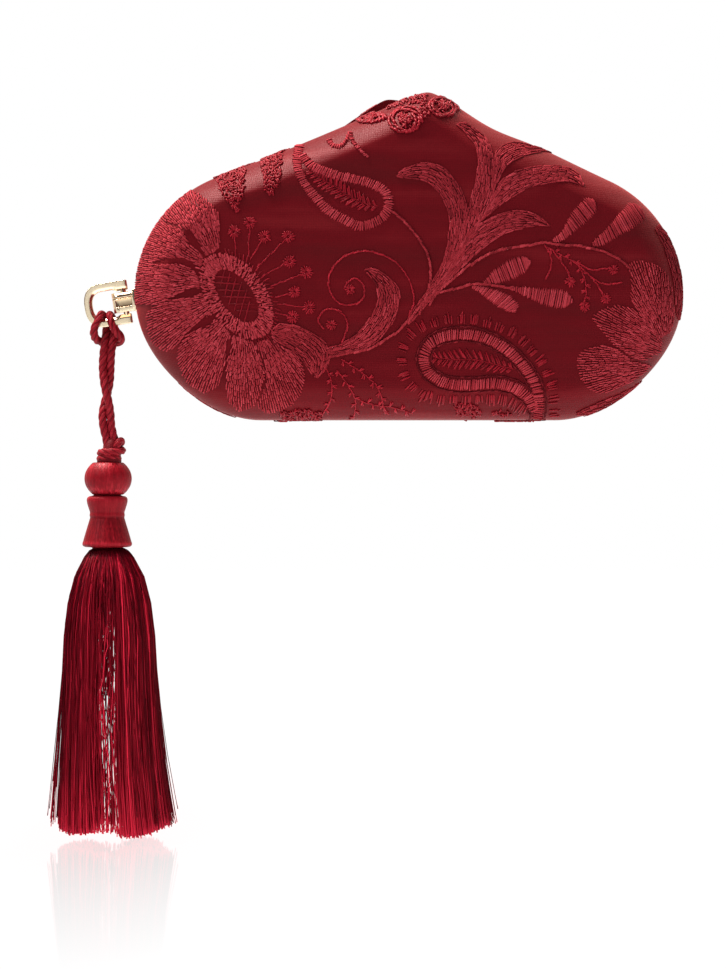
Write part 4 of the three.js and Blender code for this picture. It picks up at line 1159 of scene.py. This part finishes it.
CHEVRONS = [
    [(10.5, 23), (16, 22.5), (22, 22.5), (27.5, 22), (33, 20.5), (39, 19)],
    [(-36.5, 93.5), (-32.5, 90.5), (-28, 88), (-24, 85), (-20, 83), (-15.5, 81), (-12.5, 80.5)],
]
LOOPED_PATCHES = [
    [(-77, 98), (-62.5, 102), (-63, 87), (-65, 77.5), (-67, 80), (-71.5, 85.5)],
    [(-58, 106), (-48, 108), (-49, 92.5), (-52.5, 83.5), (-55, 87), (-56, 93)],
    [(-49.5, 2.5), (-41.5, 4), (-33.5, 2.5), (-35, -3), (-48.5, -3)],
    [(-9, 118.5), (-6, 122), (-2, 123.5), (3, 124), (8, 124.5), (6, 121), (2, 120), (-4, 120)],
    [(3.5, 120), (6.5, 120.5), (7.5, 116), (6, 113.5), (4.5, 116)],
    [(16.5, 5.5), (20, 6.5), (24.5, 5.5), (28.5, 2.5), (25, 1), (18, 2)],
    [(30.5, 2.5), (34.5, 4), (39.5, 2), (35, 0.5)],
]
ROSETTES = [(-1.5, 113.5, 6.2, 0.92), (13, 119, 5.6, 0.86), (-14.5, 115, 5.4, 0.42)]
TOOTHED_ARCS = [
    (2.4, [(-30.5, 106.5), (-29.5, 104.5), (-26.5, 103.5), (-24.5, 105), (-23, 108.5)]),
    (2.2, [(-22.5, 109), (-21.5, 105.5), (-19.5, 103), (-16, 99.5)]),
]
ROW_PITCH = 0.66
FILL_LENGTH = 2.2
FILL_STITCH = dict(width=0.74, height=0.6)
FOCUS_BACK = 10.0                # how far behind a petal's base its rows meet
LEAF_SHADE = 0.16                # leaves are worked in a deeper red than petals
SATIN_STITCH = 0.64              # tone of the barred leaves and bands
TONE_COLUMN = 7                  # place of the tone in a row of stitches()


def curve(points, step):
    """A smooth line through the points, in even steps."""
    return even_route(smooth_route(points, 10), step)


def guide(points, step):
    """A line to sew along: its even points, its directions there and the directions to its left."""
    path = curve(points, step)
    along = unit(np.gradient(path, axis=0))
    return path, along, np.column_stack([-along[:, 1], along[:, 0]])


def stitches(start, end, width, height, bow=0.0, tone=0.5):
    """One row per stitch: both ends, width, height, sideways bow and tone, with small accidents of the
    hand and a painted sheen that shifts the tone with the stitch's direction."""
    count = len(start)
    lean = np.arctan2(*(end - start).T)
    # painted sheen: the tone shifts with the stitch's direction, beside its random spread
    shade = tone + rng.normal(0, 0.12, count) + 0.06 * np.cos(2 * (lean - 0.7))
    bow = np.broadcast_to(bow, count) + rng.normal(0, 0.14, count)
    return np.column_stack([start + rng.normal(0, 0.1, (count, 2)), end + rng.normal(0, 0.1, (count, 2)),
                            np.broadcast_to(width, count) * rng.uniform(0.85, 1.12, count),
                            np.broadcast_to(height, count) * rng.uniform(0.8, 1.2, count), bow, shade])


def toned(sewn, by):
    """The same stitches, lighter or darker by a step of tone."""
    sewn[:, TONE_COLUMN] += by
    return sewn


def inside(points, shape):
    """True for points in a closed shape: a line to the right crosses its edges an odd number of times."""
    x, z = points[..., 0, None], points[..., 1, None]
    x0, z0 = shape.T
    x1, z1 = np.roll(shape, -1, axis=0).T
    rise = np.where(np.abs(z1 - z0) < 1e-9, 1e-9, z1 - z0)
    return (((z0 > z) != (z1 > z)) & (x < x0 + (z - z0) / rise * (x1 - x0))).sum(axis=-1) % 2 == 1


def grown(shape, by):
    """A closed outline moved outwards along its normals; the sign of its area tells which way is out."""
    along = unit(np.roll(shape, -1, axis=0) - np.roll(shape, 1, axis=0))
    x, z = shape.T
    area = (x * np.roll(z, -1) - np.roll(x, -1) * z).sum()
    return shape + by * np.sign(area) * np.column_stack([along[:, 1], -along[:, 0]])


def row_cuts(spans, length):
    """Each row is cut into stitches of its own length, from its own offset, that overlap a little."""
    own = length * rng.uniform(0.8, 1.25, (len(spans), 1))
    cell = np.arange(int(spans.max() / length * 1.3) + 2)[None] - rng.uniform(0, 1, (len(spans), 1))
    first, last = np.clip(cell * own, 0, spans[:, None]), np.clip((cell + 1.16) * own, 0, spans[:, None])
    return first, last, last - first > 0.8


def one_in(gap):
    """Of rows that lie a gap apart, one in this many is sewn, so that they don't crowd."""
    return np.ceil(0.68 * ROW_PITCH / np.maximum(gap, 0.05))


def fan_fill(corners):
    """A petal in long and short stitch: rows fan out from a point behind its base to its outline."""
    corners = np.array(corners, dtype=float)
    shape = grown(curve(np.vstack([corners, corners[:1]]), 0.8)[:-1], 0.15)
    base = (corners[0] + corners[-1]) / 2
    axis = unit(shape.mean(axis=0) - base)
    focus = base - FOCUS_BACK * axis
    away = shape - focus
    bearing = np.arctan2(axis[0] * away[:, 1] - axis[1] * away[:, 0], away @ axis)
    middle = np.linalg.norm(shape.mean(axis=0) - focus)
    rows = int(np.ptp(bearing) * middle / ROW_PITCH)
    angle = np.linspace(bearing.min(), bearing.max(), rows + 2)[1:-1]
    heading = np.stack([axis[0] * np.cos(angle) - axis[1] * np.sin(angle),
                        axis[1] * np.cos(angle) + axis[0] * np.sin(angle)], axis=1)
    r = np.arange(0, np.linalg.norm(away, axis=1).max() + 0.5, 0.3)
    hit = inside(focus + r[None, :, None] * heading[:, None], shape)
    crossed = hit.any(axis=1)
    heading, hit = heading[crossed], hit[crossed]
    near, far = r[hit.argmax(axis=1)], r[len(r) - 1 - hit[:, ::-1].argmax(axis=1)] - 0.3
    first, last, kept = row_cuts(far - near, FILL_LENGTH)
    middle = near[:, None] + (first + last) / 2
    gap = np.ptp(bearing) / (rows + 1) * middle
    kept &= np.arange(len(near))[:, None] % one_in(gap) == 0
    kept &= inside(focus + middle[..., None] * heading[:, None], shape)
    start = (focus + (near[:, None] + first)[..., None] * heading[:, None])[kept]
    end = (focus + (near[:, None] + last)[..., None] * heading[:, None])[kept]
    return stitches(start, end, **FILL_STITCH)


def row_fill(edge_a, edge_b):
    """A leaf in rows that follow it from foot to tip, evenly spread between its two edges and thinned out
    where the edges close in."""
    a, b = (smooth_route(edge, 12) for edge in (edge_a, edge_b))
    a, b = (even_route(p, np.linalg.norm(np.diff(p, axis=0), axis=1).sum() / 60) for p in (a, b))
    width = np.linalg.norm(a - b, axis=1)
    rows = max(int(width.max() / ROW_PITCH), 2)
    share = (np.arange(rows) + 0.5) / rows
    grid = a[None] + share[:, None, None] * (b - a)[None]
    steps = np.linalg.norm(np.diff(grid, axis=1), axis=2)
    run = np.concatenate([np.zeros((rows, 1)), np.cumsum(steps, axis=1)], axis=1)
    first, last, kept = row_cuts(run[:, -1], FILL_LENGTH * 1.5)
    sewn = []
    for k in range(rows):
        at = np.stack([first[k], (first[k] + last[k]) / 2, last[k]])[:, kept[k]]
        start, mid, end = (np.column_stack([np.interp(s, run[k], grid[k, :, c]) for c in (0, 1)]) for s in at)
        gap = np.interp(at[1], run[k], width) / rows
        use = k % one_in(gap) == 0
        chord = unit(end - start)
        bow = chord[:, 0] * (mid - start)[:, 1] - chord[:, 1] * (mid - start)[:, 0]
        sewn.append(stitches(start[use], end[use], bow=bow[use], **FILL_STITCH))
    return np.vstack(sewn)


def barred_fill(corners):
    """A leaf in satin stitch: bars across it from edge to edge, from its foot to its tip."""
    corners = np.array(corners, dtype=float)
    tip = np.linalg.norm(corners - corners[0], axis=1).argmax()
    a, b = curve(corners[:tip + 1], 0.3), curve(np.vstack([corners[:1], corners[:tip - 1:-1]]), 0.3)
    count = int(np.linalg.norm(np.diff(a, axis=0), axis=1).sum() / 0.82)
    share = np.linspace(0.06, 0.97, count)
    a, b = (np.column_stack([np.interp(share, np.linspace(0, 1, len(edge)), edge[:, c]) for c in (0, 1)])
            for edge in (a, b))
    out = unit(a - b) * rng.uniform(-0.1, 0.3, (count, 1))
    return stitches(a + out, b - out, width=0.9, height=0.75, tone=SATIN_STITCH)


def band_fill(points, width, taper=1.0):
    """A band of satin stitch: bars square to its path, with uneven ends. It narrows evenly to a share of its
    width."""
    path, along, side = guide(points, 0.8)
    half = width / 2 * np.linspace(1, taper, len(path))
    reach = half[:, None] + rng.uniform(-0.15, 0.3, (len(path), 1))
    slant = 0.3 * along
    return stitches(path + reach * side + slant, path - reach * side - slant, width=0.86, height=0.8,
                    tone=SATIN_STITCH)


def stem_line(points, length, width):
    """A line of stem stitch: short slanted stitches that overlap along the path."""
    path, along, side = guide(points, length * 0.6)
    half = along * length / 2 + side * width * 0.16
    return stitches(path - half, path + half, width, width * 0.75)


def band_shadow(points, away):
    """A dark line of stem stitch beside a band, at its own distance from the band's path, that paints the
    band's shadow.
    """
    path, _, side = guide(points, 2.0)
    return toned(stem_line(path + away * side, length=2.2, width=0.7), -0.45)


def star(x, z, inner, outer, count):
    """Short stitches that radiate from a point."""
    turn = np.linspace(0, 2 * np.pi, count, endpoint=False) + rng.uniform(0, 0.4)
    spoke = np.column_stack([np.cos(turn), np.sin(turn)])
    reach = outer * rng.uniform(0.85, 1.1, (count, 1))
    return stitches((x, z) + spoke * inner, (x, z) + spoke * reach, width=0.72, height=0.6, tone=0.44)


def looped_fill(corners):
    """A patch of short curled stitches at all angles, about two to each square millimetre."""
    shape = np.array(corners, dtype=float)
    low, high = shape.min(axis=0), shape.max(axis=0)
    spots = rng.uniform(low, high, (int(np.prod(high - low) * 2.0), 2))
    spots = spots[inside(spots, shape)]
    turn = rng.uniform(0, 2 * np.pi, len(spots))
    half = np.column_stack([np.cos(turn), np.sin(turn)]) * rng.uniform(0.5, 0.95, (len(spots), 1))
    bow = rng.normal(0, 0.4, len(spots))
    return stitches(spots - half, spots + half, width=0.7, height=0.75, bow=bow, tone=0.34)


def on_ring(flat):
    """Places in the flower ring's own frame, turned by its lean and set at its middle."""
    c, s = np.cos(RING["lean"]), np.sin(RING["lean"])
    return np.column_stack([RING["x"] + flat[:, 0] * c - flat[:, 1] * s,
                            RING["z"] + flat[:, 0] * s + flat[:, 1] * c])


def ring_fill():
    """The ring round the flower's centre: four staggered rounds of short stitches between two ellipses, each
    leaning its own way."""
    sewn = []
    inner, outer = np.array(RING["inner"]), np.array(RING["outer"])
    for near, far in ((0.0, 0.3), (0.2, 0.52), (0.42, 0.76), (0.68, 1.0)):
        girth = 2 * np.pi * (inner + (near + far) / 2 * (outer - inner)).mean()
        turn = np.linspace(0, 2 * np.pi, int(girth / ROW_PITCH), endpoint=False) + rng.uniform(0, 1)
        ends = []
        for share in (near, far):
            leaning = turn + rng.normal(0, 0.02, len(turn))
            uneven = np.clip(share + rng.normal(0, 0.06, (len(turn), 1)), 0, 1)
            spoke = np.column_stack([np.cos(leaning), np.sin(leaning)])
            ends.append(on_ring(spoke * (inner + uneven * (outer - inner))))
        sewn.append(stitches(*ends, tone=0.58, **FILL_STITCH))
    return np.vstack(sewn)


def trellis():
    """Crossed threads over the flower's centre, and tufts round the ring's upper right edge."""
    place = np.arange(-9, 10, 3.2)
    half = 5.0 * np.sqrt(np.maximum(1 - (place / 11) ** 2, 0))
    lines = [(np.column_stack([place - half * tilt, -half]), np.column_stack([place + half * tilt, half]))
             for tilt in (-0.8, 0.8)]
    turn = np.linspace(-0.35, np.pi - 0.6, 34)
    edge = np.column_stack([np.cos(turn), np.sin(turn)]) * np.array(RING["outer"])
    tuft = rng.uniform(1.2, 3.4, (len(turn), 1))
    lines.append((edge * 0.98, edge + unit(edge) * tuft))
    start, end = (on_ring(np.vstack(group)) for group in zip(*lines))
    return toned(stitches(start, end, width=0.55, height=0.45), -0.25)


def fringe(points, out):
    """Tufts along a line: every 4.8 mm four threads side by side, a little spread outwards."""
    path, along, side = guide(points, 4.8)
    side = side * out
    sewn = []
    for place in (-1.05, -0.35, 0.35, 1.05):
        reach = rng.uniform(3.2, 5.4, (len(path), 1))
        foot = path - side * 0.8 + along * (place + rng.normal(0, 0.15, (len(path), 1)))
        tip = foot + side * reach + along * place * 0.25
        sewn.append(stitches(foot, tip, width=0.85, height=0.6, tone=0.25))
    return np.vstack(sewn)


def sprig(points):
    """A thin stem with small leaves on both sides by turns, each of two short stitches."""
    path, along, side = guide(points, 2.3)
    side = side * np.where(np.arange(len(path)) % 2, 1.0, -1.0)[:, None]
    sewn = [stitches(path, path + 1.9 * side + lean * along, width=0.75, height=0.55) for lean in (0.3, 1.2)]
    return np.vstack(sewn + [stem_line(points, length=1.9, width=0.6)])


def chevron_line(points):
    """A herringbone: pairs of stitches that lean forward from a middle line, and shorter ones behind them."""
    path, along, side = guide(points, 2.2)
    reach = np.interp(np.linspace(0, 1, len(path)), [0, 0.35, 0.8, 1], [3.0, 5.4, 4.6, 3.0])[:, None]
    arms = [reach * (0.8 * side * way - 0.55 * along) for way in (-1, 1)]
    behind = path - along * 0.8
    sewn = [stitches(path, path + arm, width=0.85, height=0.6) for arm in arms]
    sewn += [stitches(behind, behind + 0.75 * arm, width=0.7, height=0.5) for arm in arms]
    return toned(np.vstack(sewn + [stem_line(points, length=2.0, width=0.5)]), -0.2)


def rosette(x, z, size, flat):
    """A swirl: a line that winds in by a third over two turns and wavers, round a knotted ball, all pressed
    flat by a share of its height."""
    turn = np.linspace(0, 4.2 * np.pi, 60)
    r = size * (1 - 0.36 * turn / turn[-1]) * (1 + 0.06 * np.sin(2.3 * turn))
    winding = np.column_stack([x + r * np.cos(turn), z + flat * r * np.sin(turn)])
    swirl = stem_line(winding, length=2.4, width=1.3)
    dots = rng.normal(0, size * 0.19, (60, 2)) * (1, flat) + (x, z)
    way = rng.normal(0, 0.7, (60, 2))
    knot = stitches(dots - way, dots + way, width=0.8, height=1.1, bow=0.3)
    return toned(np.vstack([swirl, knot]), -0.12)


def sew(side, name, sewn, material, body):
    """Every stitch as a closed tube of four rings of four: it rises from the cloth, runs along it and dips
    back in; its section is a smooth-shaded ridge with a level top, of the stitch's width and height. Its
    sides and ends are darker by painted shade, and its top a little lighter by painted light."""
    x0, z0, x1, z1, width, height, bow, tone = (column[:, None] for column in sewn.T)
    t = np.array([[0.0, 0.16, 0.84, 1.0]])
    swell = np.array([[0.4, 1.0, 1.0, 0.4]])
    rise = np.array([[-0.25, 0.38, 0.38, -0.25]])
    length = np.maximum(np.hypot(x1 - x0, z1 - z0), 0.1)
    arch = 4 * t * (1 - t) * bow / length
    x = x0 + (x1 - x0) * t - (z1 - z0) * arch
    z = z0 + (z1 - z0) * t + (x1 - x0) * arch
    path, normal = on_shell(side, -x if side > 0 else x, z, height * rise)
    along = unit(np.gradient(path, axis=1))
    across = unit(np.cross(normal, along))
    section = np.array([(1.0, -0.4), (0.5, 0.87), (-0.5, 0.87), (-1.0, -0.4)])
    ring = (section[:, :1] * (across * (width * swell)[..., None] / 2)[:, :, None]
            + section[:, 1:] * (normal * (height * swell)[..., None] / 2)[:, :, None])
    points = path[:, :, None] + ring
    rows, cols = t.size, len(section)
    start = (np.arange(len(sewn)) * rows * cols)[:, None, None]
    quads = (grid_quads(rows, cols, True)[None] + start).reshape(-1, 4)
    ends = np.vstack([end + start[:, 0] for end in swept_ends(rows, cols)])
    # painted shade on every stitch: darker sides and ends, a lighter top
    crest_shade = np.array([-0.42, 0.12, 0.12, -0.42])
    end_shade = np.array([-0.25, 0.02, 0.02, -0.25])
    shade = np.clip(tone[:, :, None] + end_shade[:, None] + crest_shade, 0, 1)
    cloth = add_piece(name, points, [quads, ends], material, shade)
    settle(cloth, body)


def make_embroidery(side, body):
    """All the sewn motifs of one face, in three pieces: petals, leaves and bands, and fine crimson work."""
    petals = [fan_fill(corners) for corners in PETALS] + [ring_fill()]
    leaves = [row_fill(a, b) for a, b in CURVED_LEAVES] + [barred_fill(corners) for corners in BARRED_LEAVES]
    leaves += [band_fill(points, width) for width, points in BANDS]
    low_width, low_band = BANDS[1]
    # dark stitches that paint the shadow along both edges of the low band
    leaves += [band_shadow(low_band, way * (low_width / 2 + 0.55)) for way in (-1, 1)]
    leaves += [stem_line(points, length=2.8, width=1.2) for points in STEMS]
    leaves += [band_fill(points, width, taper=0.4) for width, points in TOOTHED_ARCS]
    fine = [stem_line(points, length=1.9, width=0.7) for points in FINE_LINES]
    fine += [sprig(points) for points in SPRIGS] + [trellis()]
    fine += [star(*head, inner=0.4, outer=2.6, count=15) for head, _ in STAMENS]
    fine += [star(*place, inner=0.2, outer=2.2, count=13) for place in SMALL_STARS]
    fine += [stem_line(np.linspace(head, foot, 4), length=1.8, width=0.5) for head, foot in STAMENS]
    fine += [fringe(points, out) for out, points in FRINGES] + [chevron_line(points) for points in CHEVRONS]
    fine += [looped_fill(corners) for corners in LOOPED_PATCHES] + [rosette(*place) for place in ROSETTES]
    sew(side, body + "_petals", np.vstack(petals), CREWEL, body)
    sew(side, body + "_leaves", toned(np.vstack(leaves), -LEAF_SHADE), CREWEL, body)
    sew(side, body + "_fine_work", np.vstack(fine), CRIMSON, body)


make_camera()
make_cord()
make_floor()
make_light()
make_knot()
make_ball_and_waist()
make_long_threads()
make_crown_threads()
make_middle_threads()
make_loose_threads()
make_shackle()
make_block()
make_shell(-1, "front_satin", "front_shell", "front")
make_shell(1, "back_satin", "back_shell", "back")
make_lip()
make_embroidery(-1, "front")
make_embroidery(1, "back")
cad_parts["hinge_rod"].data.materials.clear()
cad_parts["hinge_rod"].data.materials.append(HINGE_CLOTH)
